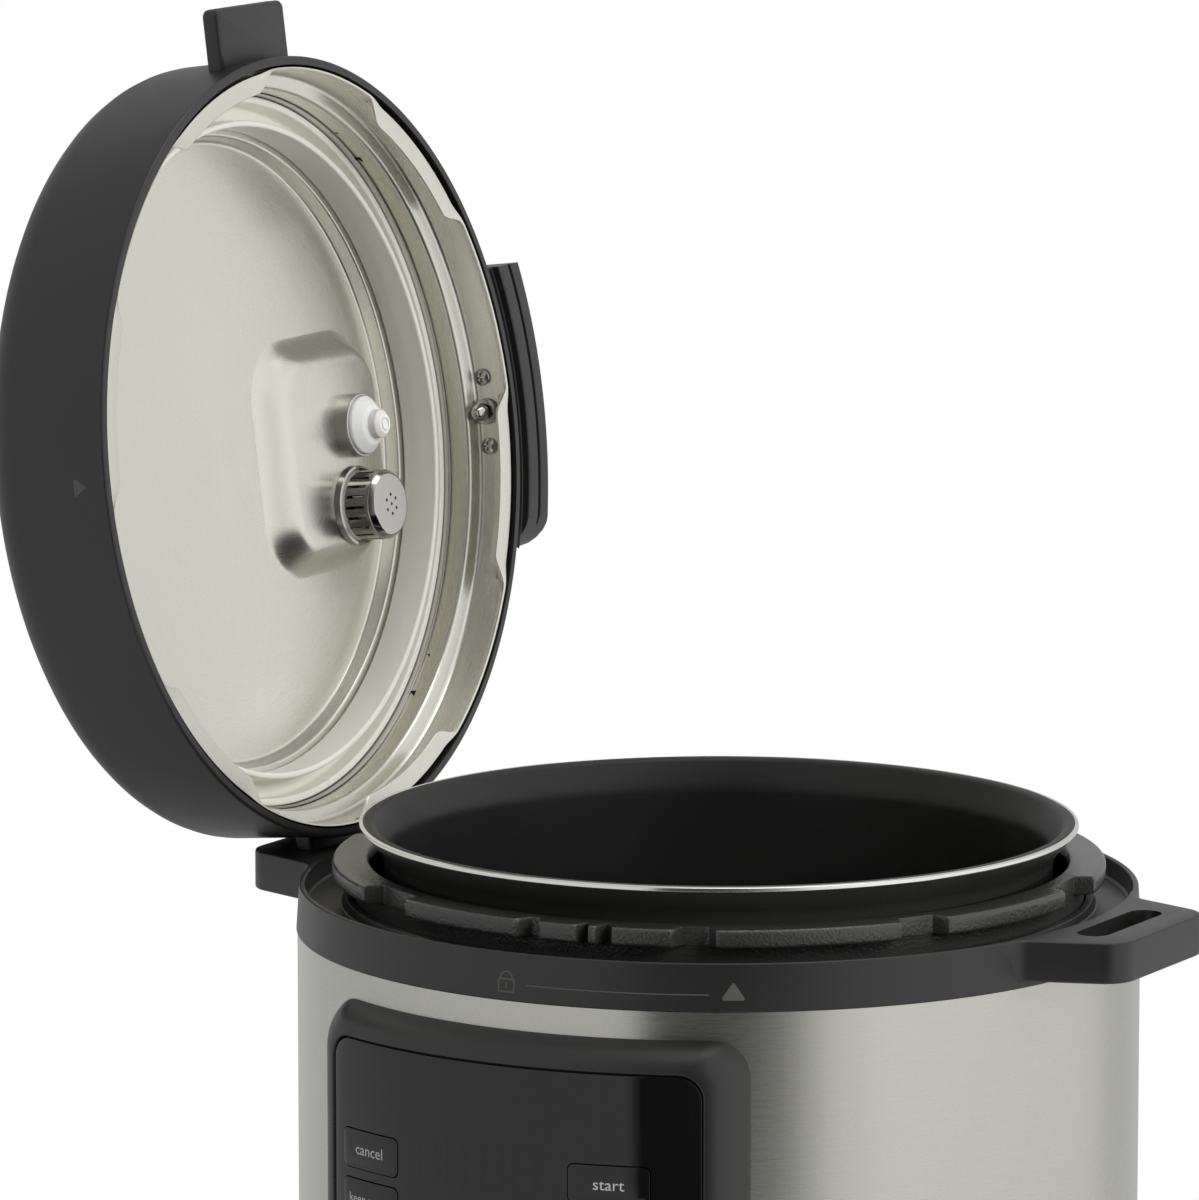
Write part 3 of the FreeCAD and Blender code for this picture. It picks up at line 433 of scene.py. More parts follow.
def joined(*meshes):
    """Several meshes in one, for a part of separate solids."""
    whole = bmesh.new()
    for bm in meshes:
        mesh = bpy.data.meshes.new("joining")
        bm.to_mesh(mesh)
        bm.free()
        whole.from_mesh(mesh)
        bpy.data.meshes.remove(mesh)
    return whole


# %% Cutting
def carved(bm, *tools, operation="DIFFERENCE"):
    """The mesh less each tool, or joined with it, by an exact Boolean."""
    body = bpy.data.objects.new("carving", bpy.data.meshes.new("carving"))
    bm.to_mesh(body.data)
    bm.free()
    bpy.context.scene.collection.objects.link(body)
    helpers = [body]
    for tool in tools:
        helper = bpy.data.objects.new("tool", bpy.data.meshes.new("tool"))
        tool.to_mesh(helper.data)
        tool.free()
        bpy.context.scene.collection.objects.link(helper)
        cutter = body.modifiers.new("cut", "BOOLEAN")
        cutter.operation = operation
        cutter.solver = "EXACT"
        cutter.object = helper
        helpers.append(helper)
    graph = bpy.context.evaluated_depsgraph_get()
    graph.update()
    result = bmesh.new()
    result.from_mesh(body.evaluated_get(graph).data)
    for helper in helpers:
        mesh = helper.data
        bpy.data.objects.remove(helper)
        bpy.data.meshes.remove(mesh)
    return result


# %% Bending a flat part round the drum
def wrapped(bm, radius, spacing=3.0, arc=DRUM, taper=0.0, level=0.0):
    """Bends a part drawn flat, facing -Y, round the Z axis. Its X runs along an arc of the given radius.
    A tapered wall loses some of its radius with every millimetre above its level."""
    low = math.floor(min(vert.co.x for vert in bm.verts) / spacing)
    high = math.ceil(max(vert.co.x for vert in bm.verts) / spacing)
    for cut in range(low, high + 1):
        sliced(bm, (cut * spacing, 0, 0), (1, 0, 0))
    for vert in bm.verts:
        angle = vert.co.x / arc
        out = radius - taper * (vert.co.z - level) - vert.co.y
        vert.co = (math.sin(angle) * out, -math.cos(angle) * out, vert.co.z)
    return bm


# %% Finishing a piece
def piece(name, bm, body, slot, stands_for=(), look=None, place=None, sharp=32):
    """Makes the object: to its place, to metres, smooth where it is round, riding on a body."""
    if place is not None:
        bm.transform(place)
    bm.transform(Matrix.Scale(METRES, 4))
    mesh = bpy.data.meshes.new(name)
    bm.to_mesh(mesh)
    bm.free()
    mesh.polygons.foreach_set("use_smooth", [True] * len(mesh.polygons))
    mesh.set_sharp_from_angle(angle=math.radians(sharp))
    mesh.materials.append(FINISHES[look or slot])
    made = bpy.data.objects.new(name, mesh)
    bpy.context.scene.collection.objects.link(made)
    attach(made, body)
    if stands_for:
        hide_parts(*stands_for)
    print(f"{name}: {len(mesh.polygons)} faces")


# %% [markdown]
# ## The drum
# The sleeve is a sheet rolled into a cylinder and brushed along its length, so the lines run round the
# drum. It is spun as a thin wall, then punched for the panel and the inlet.

# %% Outer sleeve
SHEET = 0.55
INLET_MIDDLE = 46

sleeve = spun([(DRUM - SHEET, 24.1), (DRUM, 24.1), (DRUM, 234.9), (DRUM - SHEET, 234.9)], steps=288)
panel_punch = moved(turned(plate(oblong(120, 112, 6), -30, 30), 90, "X"), 0, -DRUM, PANEL_MIDDLE)
inlet_punch = moved(turned(plate(oblong(34.4, 24.4, 2), -30, 30), 90, "X"), 0, DRUM, INLET_MIDDLE)
piece("drum_sleeve", carved(sleeve, panel_punch, inlet_punch), "base", "sleeve_steel", ["outer_sleeve"])

# %% [markdown]
# ## Top ring
# One moulding makes the top ring, its gutter and both handles. The ring is spun. Each handle is a plate
# whose outline leaves the ring in a hollow curve and turns a round corner at its tip, with a slot through it
# that holds the parked lid. The plate's upper edge is bevelled, because a hand goes there.

# %% Ring and gutter
ring = spun([
    (RING_WALL_LOW - 3.2, RING_LOW + 0.05), (RING_WALL_LOW, RING_LOW + 0.05, 0.4),
    (RING_WALL_HIGH, RING_HIGH, 0.8), (147.9, RING_HIGH, 0.7), (147.3, 244.5, 1.2), (134.6, 244.5, 1.0),
    (133.6, 247.6, 0.5), (131.1, 247.6, 0.5), (131.1, 241.6), (146.6, 241.6)], steps=288)
piece("ring_and_gutter", ring, "base", "black_plastic", ["top_ring"])


# %% Handles
def handle(side):
    """A side handle: a plate that flares into the ring, with a round-ended slot through it."""
    corners = [(136, -55), (139.5, -55), (143.8, -45.2, 10), (177.6, -33.2, 12), (177.6, 33.2, 12),
               (143.8, 45.2, 10), (139.5, 55), (136, 55)]
    body = plate(corners, RING_HIGH - 14.4, RING_HIGH - 0.02, edge=0.9)
    slot = moved(plate(oblong(12, 52, 5.98), 220, 270), 159.5, 0, 0)
    inside = rod(147.7, 220, 270, steps=288)
    whole = carved(body, slot, inside)
    return whole if side > 0 else turned(whole, 180, "Z")


for side, name in ((1, "right_handle"), (-1, "left_handle")):
    piece(name, handle(side), "base", "black_plastic")

# %% [markdown]
# ## Printed marks
# A padlock, a line and a triangle on the ring show which way the lid turns. Print is a few hundredths of a
# millimetre thick, so each mark is a very thin raised shape that follows the wall of the ring.

# %% Marks on the ring
RING_MARK_LEVEL = 243.6
LINE_START, LINE_END, TRIANGLE_MIDDLE = (math.radians(degrees) * DRUM for degrees in (2.9, 27.6, 30.8))
STROKE = 0.6


def mark(corners, across, up, thick=0.03):
    """A thin flat shape, upright and facing -Y, at a place along the arc."""
    flat = turned(plate(corners, 0, thick), 90, "X")
    return moved(flat, across, 0, up)


shackle = spun([(2.0, 0), (2.6, 0), (2.6, 0.03), (2.0, 0.03)], steps=16, sweep=180)
moved(turned(shackle, 90, "X"), 0, 0, RING_MARK_LEVEL - 0.7)
padlock_bars = ((6.6, STROKE, 0, 1.0), (6.6, STROKE, 0, 5.4), (STROKE, 4.6, -3.0, 3.2),
                (STROKE, 4.6, 3.0, 3.2), (STROKE, 2.0, 0, 3.2))
padlock = joined(*[mark(oblong(wide, tall, 0.1), across, RING_MARK_LEVEL - drop)
                   for wide, tall, across, drop in padlock_bars], shackle)
triangle = mark([(-4.4, -3.1, 0.6), (4.4, -3.1, 0.6), (0, 3.4, 0.6)],
                TRIANGLE_MIDDLE, RING_MARK_LEVEL - 1.4)
line = mark([(LINE_START, -0.2), (LINE_END, -0.2), (LINE_END, 0.2), (LINE_START, 0.2)],
            0, RING_MARK_LEVEL - 2.6)
marks = wrapped(joined(padlock, triangle, line), RING_WALL_LOW + 0.01, spacing=1.2,
                taper=(RING_WALL_LOW - RING_WALL_HIGH) / (RING_HIGH - RING_LOW), level=RING_LOW)
piece("ring_marks", marks, "base", "black_plastic", look="print_grey")

# %% [markdown]
# ## Bayonet ring
# The lid locks under the lugs of a cast ring. Casting leaves rough skin and soft corners, so the ring is
# spun whole, then its flange is drawn in where there is no lug, with an eased run at each end of a lug.

# %% Bayonet ring
NECK = 130.8
LUGS = [(-78, -35), (-24, -1.2), (1.6, 8.4), (9.4, 11.4), (12.9, 22.8), (28, 56.5), (63.5, 91)]
LUGS += [(start + 180, end + 180) for start, end in LUGS]


def lug_share(angle, spans, run):
    """1 on a lug and 0 between lugs, eased over a run in degrees."""
    share = 0.0
    for start, end in spans:
        off = abs((angle - (start + end) / 2 + 180) % 360 - 180) - (end - start) / 2
        ease = min(1.0, max(0.0, 0.5 - off / run))
        share = max(share, ease * ease * (3 - 2 * ease))
    return share


bayonet = spun([
    (124.2, 241.6), (130.6, 241.6), (130.6, 253.6, 1.0), (138.2, 254.4, 1.4), (138.2, 260.8, 1.8),
    (125.6, 260.8, 1.4), (124.2, 258.0, 1.0)], steps=720)
for vert in bayonet.verts:
    out = Vector(vert.co.xy).length
    if out > NECK - 0.1:
        share = lug_share(math.degrees(math.atan2(vert.co.x, -vert.co.y)), LUGS, 1.4)
        drawn = NECK + (out - NECK) * (0.04 + 0.96 * share)
        vert.co.xy = vert.co.xy * (drawn / out)
piece("bayonet_casting", bayonet, "base", "cast_black", ["bayonet_ring"])

# %% [markdown]
# ## Inner pot
# The pot is drawn from a disc of aluminium and coated, and its rim is turned bright afterwards. It is spun
# as one closed wall: down the outside, across the floor, up the inside and over the flared rim. The bright
# cut edge is a thin ring of its own, because bare metal needs its own finish.

# %% Pot
pot = spun([
    (0, 88), (119.4, 88, 14), (119.4, 262.4, 9), (127.6, 272.0, 2), (127.6, 273.2), (126.4, 273.9, 0.6),
    (123.4, 273.7, 3), (117.5, 264.2, 9), (117.5, 90.6, 12), (0, 90.6)], steps=288)
piece("pot_wall", pot, "pot", "pot_metal", ["inner_pot"])
# A thin skirt over the outside of the pot's neck wears a lighter copy of the coating: painted sheen where
# the neck catches the light.
neck_sheen_shell = spun([
    (119.5, 260.5), (119.6, 262.4, 9), (127.75, 271.9, 1.6), (127.75, 272.2), (119.9, 263.4, 9),
    (119.6, 262.0)], steps=288)
piece("pot_neck_sheen_skirt", neck_sheen_shell, "pot", "pot_metal", look="pot_neck_painted_sheen")
edge_ring = spun([
    (127.5, 271.7, 0.4), (128.4, 272.1, 0.7), (128.4, 273.5, 0.6), (127.2, 273.95, 0.3), (126.9, 273.4)],
    steps=288)
piece("pot_rim_edge", edge_ring, "pot", "pot_metal", look="rim_edge")

# %% [markdown]
# ## Control panel
# The panel is drawn flat and then bent round the drum. Its frame is a stack of rounded rectangles, bridged
# one to the next: they rise from the drum, round over to a shoulder, drop into a seat for the window and
# come back behind. A quarter of a sine wave makes the slope steep at the foot and soft at the shoulder.

# %% Panel frame
FOOT = (174.0, 137.0, 13.0)
FACE = (143.4, 118.6, 9.0)
RISE = 11.2


def between(share):
    """A loop between the foot and the face, on a slope that is steep at first and then rounds over."""
    across, up, corner = (low + (high - low) * share for low, high in zip(FOOT, FACE))
    return across, up, corner, RISE * math.sin(math.pi / 2 * share) ** 0.82


frame_loops = [between(share) for share in (0, 0.03, 0.08, 0.16, 0.28, 0.42, 0.57, 0.72, 0.86, 0.95, 1)]
frame_loops += [(142.9, 118.1, 8.8, RISE), (142.3, 117.5, 8.5, RISE - 0.35), (142.2, 117.4, 8.5, 8.4),
                (137.0, 112.2, 6.5, 8.4), (137.0, 112.2, 6.5, 0.8), (170.0, 133.0, 11.0, 0)]
frame_mesh = turned(lofted(frame_loops, ring=True), 90, "X")
piece("panel_frame", moved(wrapped(frame_mesh, DRUM + 0.1), 0, 0, PANEL_MIDDLE), "base", "panel_plastic",
      ["panel_bezel"], sharp=50)

# %% [markdown]
# ## Window and keys
# A glossy black film covers the display, with a hole for each key. The keys stand three tenths of a
# millimetre proud, so a finger finds them. All of them are drawn flat, like the frame, and bent together.

# %% Window
KEY_GAP = 0.7


def key_block(column, row, extra=0.0):
    """A key, drawn flat and upright at its place about the panel's middle. With extra, it is the tool that
    cuts the key's hole."""
    outline = oblong(KEY_SIZE[0] + extra, KEY_SIZE[1] + extra, 2.2 + extra / 2)
    block = plate(outline, -2.8, 3.4 if extra else 0.3, edge=0 if extra else 0.25, segments=2)
    return moved(turned(block, 90, "X"), column, 0, row - PANEL_MIDDLE)


window = turned(plate(oblong(141.6, 116.0, 8.5), -2.2, 0, edge=0.35), 90, "X")
window = carved(window, *[key_block(column, row, KEY_GAP) for column in KEY_COLUMNS for row in KEY_ROWS])
piece("window", moved(wrapped(window, PANEL_FACE - 0.6), 0, 0, PANEL_MIDDLE), "base", "panel_plastic",
      ["panel_window"], look="window_film")

# %% Keys
KEY_NAMES = (("stop_key", "warm_key", "timer_key"), ("start_key", "plus_key", "minus_key"))
for column, names in zip(KEY_COLUMNS, KEY_NAMES):
    for row, name in zip(KEY_ROWS, names):
        block = wrapped(key_block(column, row), PANEL_FACE - 0.5, spacing=4.5)
        piece(name + "_cap", moved(block, 0, 0, PANEL_MIDDLE), name + "_body", "key_plastic", [name])

# %% [markdown]
# ## Words and symbols
# The keys say what they do in plain words, and two carry a plus and a minus. Letters start as a text
# object, become a mesh, and are then laid on the curved face like the rest of the print. The display is
# off, so its digits are only faint shapes behind the film.

# %% Lettering
def lettering(words, size):
    """Words as a thin upright mesh about the origin."""
    curve = bpy.data.curves.new("words", "FONT")
    curve.body = words
    curve.size = size
    curve.align_x = "CENTER"
    curve.align_y = "CENTER"
    curve.extrude = 0.012
    curve.resolution_u = 3
    source = bpy.data.objects.new("words", curve)
    bpy.context.scene.collection.objects.link(source)
    graph = bpy.context.evaluated_depsgraph_get()
    bm = bmesh.new()
    bm.from_mesh(source.evaluated_get(graph).to_mesh())
    bpy.data.objects.remove(source)
    bmesh.ops.remove_doubles(bm, verts=bm.verts, dist=0.0005)
    return turned(bm, 90, "X")


LEGENDS = {"stop_key": "cancel", "warm_key": "keep warm", "timer_key": "timer", "start_key": "start"}
for column, names in zip(KEY_COLUMNS, KEY_NAMES):
    for row, name in zip(KEY_ROWS, names):
        if name in LEGENDS:
            legend = lettering(LEGENDS[name], 5.6 if len(LEGENDS[name]) < 7 else 4.6)
        else:
            sizes = ((5, 0.8), (0.8, 5)) if name == "plus_key" else ((5, 0.8),)
            legend = joined(*[mark(oblong(*size, 0.1), 0, 0, 0.02) for size in sizes])
        moved(legend, column, 0, row)
        piece(name + "_legend", wrapped(legend, PANEL_FACE - 0.17), name + "_body", "key_plastic",
              look="print_white")


# %% Display digits
DIGIT_LEVEL, DIGIT_TALL, DIGIT_WIDE = 178, 15, 7.5


def digit(across):
    """Seven bars of one display digit."""
    lying = [mark(oblong(DIGIT_WIDE - 1.6, 1.3, 0.3), across, DIGIT_LEVEL + level * DIGIT_TALL / 2, 0.01)
             for level in (-1, 0, 1)]
    upright = [mark(oblong(1.3, DIGIT_TALL / 2 - 1.4, 0.3), across + side * DIGIT_WIDE / 2,
                    DIGIT_LEVEL + level * DIGIT_TALL / 4, 0.01)
               for side in (-1, 1) for level in (-1, 1)]
    return lying + upright


digits = [bar for across in (-25, -13.5, 0.5, 12) for bar in digit(across)]
dots = [mark(oblong(1.4, 1.4, 0.3), -6.5, DIGIT_LEVEL + side * 3.2, 0.01) for side in (-1, 1)]
piece("display_digits", wrapped(joined(*digits, *dots), PANEL_FACE - 0.585), "base", "panel_plastic",
      look="ghost_digit")

# %% [markdown]
# ## Base pan, feet and the back
# The pan closes the drum below, and its edge is rolled so that the cooker can be slid without a scrape. The
# back carries a clear cup for condensed water under a small hood, and the socket for the power cord.

# %% Base pan
PAN_EDGE = DRUM + 0.35
PAN_LIP = DRUM - 0.75

pan = spun([
    (0, 8.2), (141.5, 8.2, 5), (PAN_EDGE, 12.6, 3), (PAN_EDGE, 24, 0.5), (PAN_LIP, 24), (PAN_LIP, 33.8),
    (146.7, 33.8), (146.7, 14.8), (142.0, 11), (0, 11)], steps=256)
vents = [turned(moved(plate(oblong(26, 4, 1.9), 0, 20), 103, 0, 0), 15 + 30 * count, "Z")
         for count in range(12)]
bosses = [moved(rod(4, 10.8, 30, steps=24), side * 50, 45 + end * 26, 0)
          for side in (-1, 1) for end in (-1, 1)]
piece("base_moulding", joined(carved(pan, *vents), *bosses), "base", "black_plastic", ["base_pan"])

# %% Feet
FEET_CIRCLE = 112
SCREW_CIRCLE = 60


def around(count, radius, first=0.0):
    """Evenly spaced places on a circle about the origin, from a first angle in degrees."""
    angles = [math.radians(first + 360 * turn / count) for turn in range(count)]
    return [(radius * math.cos(angle), radius * math.sin(angle)) for angle in angles]


for count, place in enumerate(around(4, FEET_CIRCLE, first=45)):
    foot = spun([(0, 0), (10, 0, 1.2), (12, 8.1), (7, 8.1), (7, 7.9), (0, 7.9)], steps=48)
    moved(foot, *place, 0)
    name = f"rubber_foot_{count + 1}"
    piece(name + "_pad", foot, "base", "foot_rubber", [name])


# %% Screws
def screw_head(radius, height):
    """A pan head with a cross recess, its top at z = height."""
    head = spun([(0, 0), (radius, 0, 0.2), (radius, height * 0.55, height * 0.3),
                 (radius * 0.45, height, 0.6), (0, height)], steps=40)
    slot = (radius * 1.1, radius * 0.24)
    return carved(head, *[plate(oblong(*size, 0.1), height * 0.35, height + 1)
                          for size in (slot, slot[::-1])])


heads = [moved(turned(screw_head(4, 2), 180, "X"), *place, 8.1) for place in around(4, SCREW_CIRCLE)]
piece("base_screw_heads", joined(*heads), "base", "small_steel", ["base_screws"])

# %% Condensation cup and its hood
CUP_BACK = DRUM + 9.9


def cup_plate(half, back, front, corners, low, high, edge=0.0):
    """A plate behind the drum: its half width, its reach from the cup's back wall, and its corner radii."""
    outline = [(-half, back, corners[0]), (half, back, corners[0]), (half, front, corners[1]),
               (-half, front, corners[1])]
    return moved(plate(outline, low, high, edge), 0, CUP_BACK, 0)


cup_block = cup_plate(33, 0, 25.6, (2, 8), 150.2, 205.8, 0.8)
cup_core = cup_plate(31, 2, 23.6, (1, 6), 152.2, 212)
piece("cup_shell", carved(cup_block, cup_core), "cup", "cup_plastic", ["condensation_cup"])
hood = cup_plate(36.8, -24, 25.8, (2, 9), 207.2, 209.8, 0.9)
wall = cup_plate(36.8, -24, -0.9, (2, 2), 148.2, 213.8, 1.2)
bracket = carved(wall, hood, operation="UNION")
piece("cup_hood", carved(bracket, rod(DRUM + 0.12, 100, 260, steps=256)), "base", "black_plastic",
      ["cup_bracket"])

# %% Power inlet
inlet = turned(plate(oblong(34, 24, 3), -153.8, -126.2, edge=0.8), 90, "X")
socket = turned(plate([(-12.2, -8.2, 1), (12.2, -8.2, 1), (12.2, 4.6, 1), (8.6, 8.2, 1), (-8.6, 8.2, 1),
                       (-12.2, 4.6, 1)], -160, -138), 90, "X")
piece("inlet_body", moved(carved(inlet, socket), 0, 0, INLET_MIDDLE), "base", "black_plastic",
      ["power_inlet"])
pins = [moved(turned(plate(oblong(2, 4, 0.5), -149.9, -137, edge=0.3), 90, "X"),
              across, 0, INLET_MIDDLE + up)
        for across, up in ((-7, -2.5), (0, 2.5), (7, -2.5))]
piece("inlet_pins", joined(*pins), "base", "small_steel")

# %% [markdown]
# ## Lid: cover, fins and grips
# The cover is a deep plastic dish. Its skirt meets the top in a wide round. Two fins stick out of it, and
# the lower one stands in the handle's slot while the lid is parked. The thumb grip at the back of the skirt
# is an arc with cut ends, which the bisect operator makes after the spin. Five more cuts round off the
# lower corner.

# %% Cover
COVER = 142.5
SHOULDER = 141.3
SHOULDER_LEVEL = 53


def drills(radii, low, high, steps=40):
    """Tools that bore the lid at the float valve and at the steam stem."""
    return [moved(rod(radius, low, high, steps), *place, 0)
            for place, radius in zip((VALVE, EXHAUST), radii)]


cover = spun([
    (139.3, 0.1), (COVER, 0.1, 1.1), (SHOULDER, SHOULDER_LEVEL, 14), (0, 56), (0, 52.8),
    (138.1, 49.8, 11), (139.0, 12)], steps=288)
cover = carved(cover, *drills((6, 8), 30, 80, steps=48))
piece("lid_cover_dish", cover, "lid", "black_plastic", ["lid_cover"], place=LID)
for side, name in ((-1, "lower"), (1, "upper")):
    fin = plate([(-23, 138.4), (23, 138.4), (23, 162.4, 3), (-23, 162.4, 3)], 8.5, 15.5, edge=1.7)
    fin = carved(turned(fin, side * 90, "Z"), rod(139.6, -5, 60, steps=256))
    piece(f"lid_fin_{name}", fin, "lid", "black_plastic", place=LID)

# %% Mark on the skirt
arrow = mark([(-3.5, 2.7, 0.5), (0, -2.7, 0.5), (3.5, 2.7, 0.5)], 3.5, 11)
arrow = wrapped(arrow, COVER + 0.01, spacing=1.2, arc=COVER, taper=(COVER - SHOULDER) / SHOULDER_LEVEL)
piece("skirt_mark", arrow, "lid", "black_plastic", look="print_grey", place=LID)

# %% Thumb grip
ROUNDING_MIDDLE = Vector((-43, 0, 16.2))
ROUNDING = 14
ROUNDING_CUTS = 5

grip = spun([
    (142.75, 5.0), (151.6, 5.0, 0.8), (152.4, 2.2, 1), (158.9, 2.2, 0.4), (159.4, 3.4), (160.2, 3.4),
    (160.7, 2.2, 0.4), (167.8, 2.2, 2), (166.2, 17, 4), (158, 23.8, 5), (142.75, 23.8)],
    steps=90, start=62, sweep=56)
trims = [((51, 0, 0), (1, 0, 0)), ((-57, 0, 0), (-1, 0, 0))]
for step in range(1, ROUNDING_CUTS + 1):
    slope = math.radians(90 / (ROUNDING_CUTS + 1) * step)
    outward = Vector((-math.cos(slope), 0, -math.sin(slope)))
    trims.append((ROUNDING_MIDDLE + outward * ROUNDING, outward))
for point, outward in trims:
    sliced(grip, point, outward, clear_outer=True)
    capped(grip)
bmesh.ops.recalc_face_normals(grip, faces=grip.faces)


def on_pin(bm):
    """A part drawn about Z, laid along the locking pin's axis."""
    return moved(turned(bm, -90, "X"), PIN[0], 0, PIN[1])


piece("thumb_grip", carved(grip, on_pin(rod(5.2, 130, 158))), "lid", "black_plastic", ["lid_grip"],
      place=LID)
# A thin dark sheet under the grip: painted shade where the recess beneath the grip falls dark.
shade = spun([(142.9, 4.85), (151.2, 4.85), (151.2, 5.15), (142.9, 5.15)], steps=60, start=70.5, sweep=41.3)
piece("grip_painted_shade", shade, "lid", "black_plastic", look="painted_shade_plastic", place=LID)

# %% Top handle
handle_block = lofted([(86, 37, 12, 56.25), (84, 37, 12, 60), (79, 36.5, 12, 72.5), (77, 35.5, 12, 75),
                       (72, 32.5, 11, 77.8), (64, 27, 10, 79.1), (50, 18, 8, 79.9)])
piece("top_handle", handle_block, "lid", "black_plastic", ["lid_handle"], place=LID)

# %% [markdown]
# ## Lid: the pressed steel shell
# The steel shell carries the pressure. It is pressed from one sheet: a flat panel, a groove, a deep channel
# for the sealing ring, two ridges, and a strip at the rim whose lugs are bent inwards to catch under the
# ring below. The strip is spun whole, and the lip is drawn out wherever there is no lug.

# %% Shell
LID_LUGS = [(32.5 + 60 * count, 60.5 + 60 * count) for count in range(6)]
STRIP = 138.5
LIP_REACH, LIP_LEVEL = 130, 4.5
VALVE_HOLES = (4.4, 5.3)

shell = spun([
    (0, 43.3), (114.2, 43.3, 1.6), (115.9, 37.6, 1.2), (131.0, 37.6, 1.6), (131.8, 16.4, 2.0),
    (137.3, 14.4, 2.2), (137.4, 12.0), (137.98, 5.4), (138.1, 3.6, 0.7), (130.4, 3.4, 0.5),
    (130.4, 2.3, 0.5), (138.9, 1.9, 1.4), (138.3, 15.2, 2.6), (132.6, 17.0, 1.6), (131.9, 38.4, 1.4),
    (116.4, 38.4, 1.0), (114.8, 44.1, 1.4), (0, 44.1)], steps=480)
for vert in shell.verts:
    out = vert.co.xy.length
    if out > LIP_REACH and vert.co.z < LIP_LEVEL:
        share = lug_share(math.degrees(math.atan2(vert.co.x, vert.co.y)), LID_LUGS, 4.6)
        drawn = STRIP - (STRIP - out) * (0.10 + 0.90 * share)
        vert.co.xy = vert.co.xy * (drawn / out)
        vert.co.z += share * (5.2 if out > STRIP - 1 else -0.5)
        vert.co.z -= (1 - share) * 1.3
piece("shell_pressing", carved(shell, *drills(VALVE_HOLES, 30, 60)), "lid", "lid_steel", ["lid_shell"],
      place=LID, sharp=40)

# %% Raised pad under the valves
pad_loops = [(92, 82, 24, 43.9, -8.5, 64)]
for step in range(13):
    share = step / 12
    ease = share * share * (3 - 2 * share)
    pad_loops.append((92 - 26 * share, 82 - 23 * share, 24 - 11 * share, 43.6 - 8.6 * ease,
                      -8.5 + 0.5 * share, 64 + 4 * share))
piece("shell_pad", carved(lofted(pad_loops), *drills(VALVE_HOLES, 20, 60)), "lid", "lid_steel", place=LID,
      sharp=50)

# %% [markdown]
# ## Sealing ring and its rack
# The seal is a thick ring of clear silicone, U-shaped in section, that presses outwards under steam. A thin
# steel hoop holds it in the channel. Its small notches near the edge are not cut; their dark openings are
# painted shade, as thin dark triangles. Light goes a little way into silicone, so its finish is part
# transmission.

# %% Seal and rack
seal = spun([
    (118.2, 37.4, 1), (130.2, 37.4, 1), (130.3, 26.4, 0.9), (127.5, 26.4, 0.9), (127.1, 33.5, 1.5),
    (121, 33.5, 1.5), (120.6, 22.8, 0.9), (118.3, 22.8, 0.9)], steps=288)
piece("seal", seal, "lid", "silicone", ["sealing_ring"], place=LID)
rack = spun([(130.5, 24.2, 0.15), (131.2, 24.2, 0.15), (131.2, 37.2), (130.5, 37.2)], steps=240)
piece("seal_rack", rack, "lid", "small_steel", ["gasket_rack"], place=LID)
# The hoop is not cut: each notch is a small and a larger thin dark triangle of painted shade, where its
# opening looks dark.
notch_shades = []
for angle in (52.5, -47.2, 132.8, -127.5):
    for offset, size in ((4.0, 1.2), (-4.0, 2.8)):
        notch_shade = mark([(-size / 2, 0), (size / 2, 0), (-size / 2, size)], 0, 22.4, 0.1)
        notch_shades.append(turned(wrapped(notch_shade, 131.38, arc=131.4), 180 - angle - offset, "Z"))
piece("rack_notch_painted_shade", joined(*notch_shades), "lid", "lid_steel", look="painted_shade_plastic", place=LID)

# %% [markdown]
# ## Valves, shield and locking pin
# The float valve rises with pressure and locks the lid; its cap is soft white silicone. The shield beside
# it keeps food out of the steam way, so it is pressed from thin sheet with many slots. A spring pin in the
# strip locks the lid in place, between two small screws.

# %% Float valve
cap = spun([(0, 19.7), (3.6, 19.7, 0.6), (5.3, 21.2, 0.8), (5.4, 24.2, 0.6), (7.5, 25.0, 1),
            (10.8, 28, 1.2), (10.8, 29.6), (0, 29.6)], steps=64)
piece("float_cap_soft", moved(cap, *VALVE, 0), "float", "silicone", ["float_cap"], look="valve_silicone",
      place=LID)
tip = spun([(1.9, 19.3, 0.2), (2.6, 19.3, 0.2), (2.6, 19.8), (1.9, 19.8)], steps=32)
piece("float_cap_tip", moved(tip, *VALVE, 0), "float", "silicone", look="silicone", place=LID)
collar = spun([(10.95, 29, 0.3), (12, 29, 0.6), (12, 35), (10.95, 35)], steps=64)
piece("float_collar_ring", moved(collar, *VALVE, 0), "lid", "small_steel", ["float_collar"],
      look="collar_steel", place=LID)
float_pin = spun([(0, 29.6), (3.8, 29.6), (3.8, 58, 1), (0, 58)], steps=40)
piece("float_pin", moved(float_pin, *VALVE, 0), "float", "small_steel", ["float_valve"], place=LID)

# %% Anti-block shield
SLOT_COUNT = 20
SHARES, OPEN_SHARES = 7, 2
SLOT_LOW, SLOT_HIGH = 23.5, 31.3

shield = spun([
    (0, 19.3), (11.4, 19.3, 1.5), (13.1, 21.6, 1.2), (13.1, 23.4), (13.1, 31.4), (13.3, 32.9), (14.2, 32.3),
    (15.0, 32.7), (15.3, 34.9)], steps=SLOT_COUNT * SHARES, closed=False)
for face in shield.faces:
    if face.calc_center_median().z < 22.5 and face.normal.z > 0:
        bmesh.ops.reverse_faces(shield, faces=shield.faces)
        break
slotted = []
for face in shield.faces:
    middle = face.calc_center_median()
    share = int((math.degrees(math.atan2(middle.y, middle.x)) % 360) / (360 / (SLOT_COUNT * SHARES)))
    if SLOT_LOW < middle.z < SLOT_HIGH and share % SHARES < OPEN_SHARES:
        slotted.append(face)
bmesh.ops.delete(shield, geom=slotted, context="FACES")
bmesh.ops.solidify(shield, geom=list(shield.faces), thickness=0.7)
vents = [moved(rod(0.65, 10, 25, steps=16), *place, 0) for place in [(0, 0), *around(6, 3.6)]]
piece("shield_pressing", moved(carved(shield, *vents), *EXHAUST, 0), "shield", "lid_steel",
      ["anti_block_shield"], look="shield_steel", place=LID)

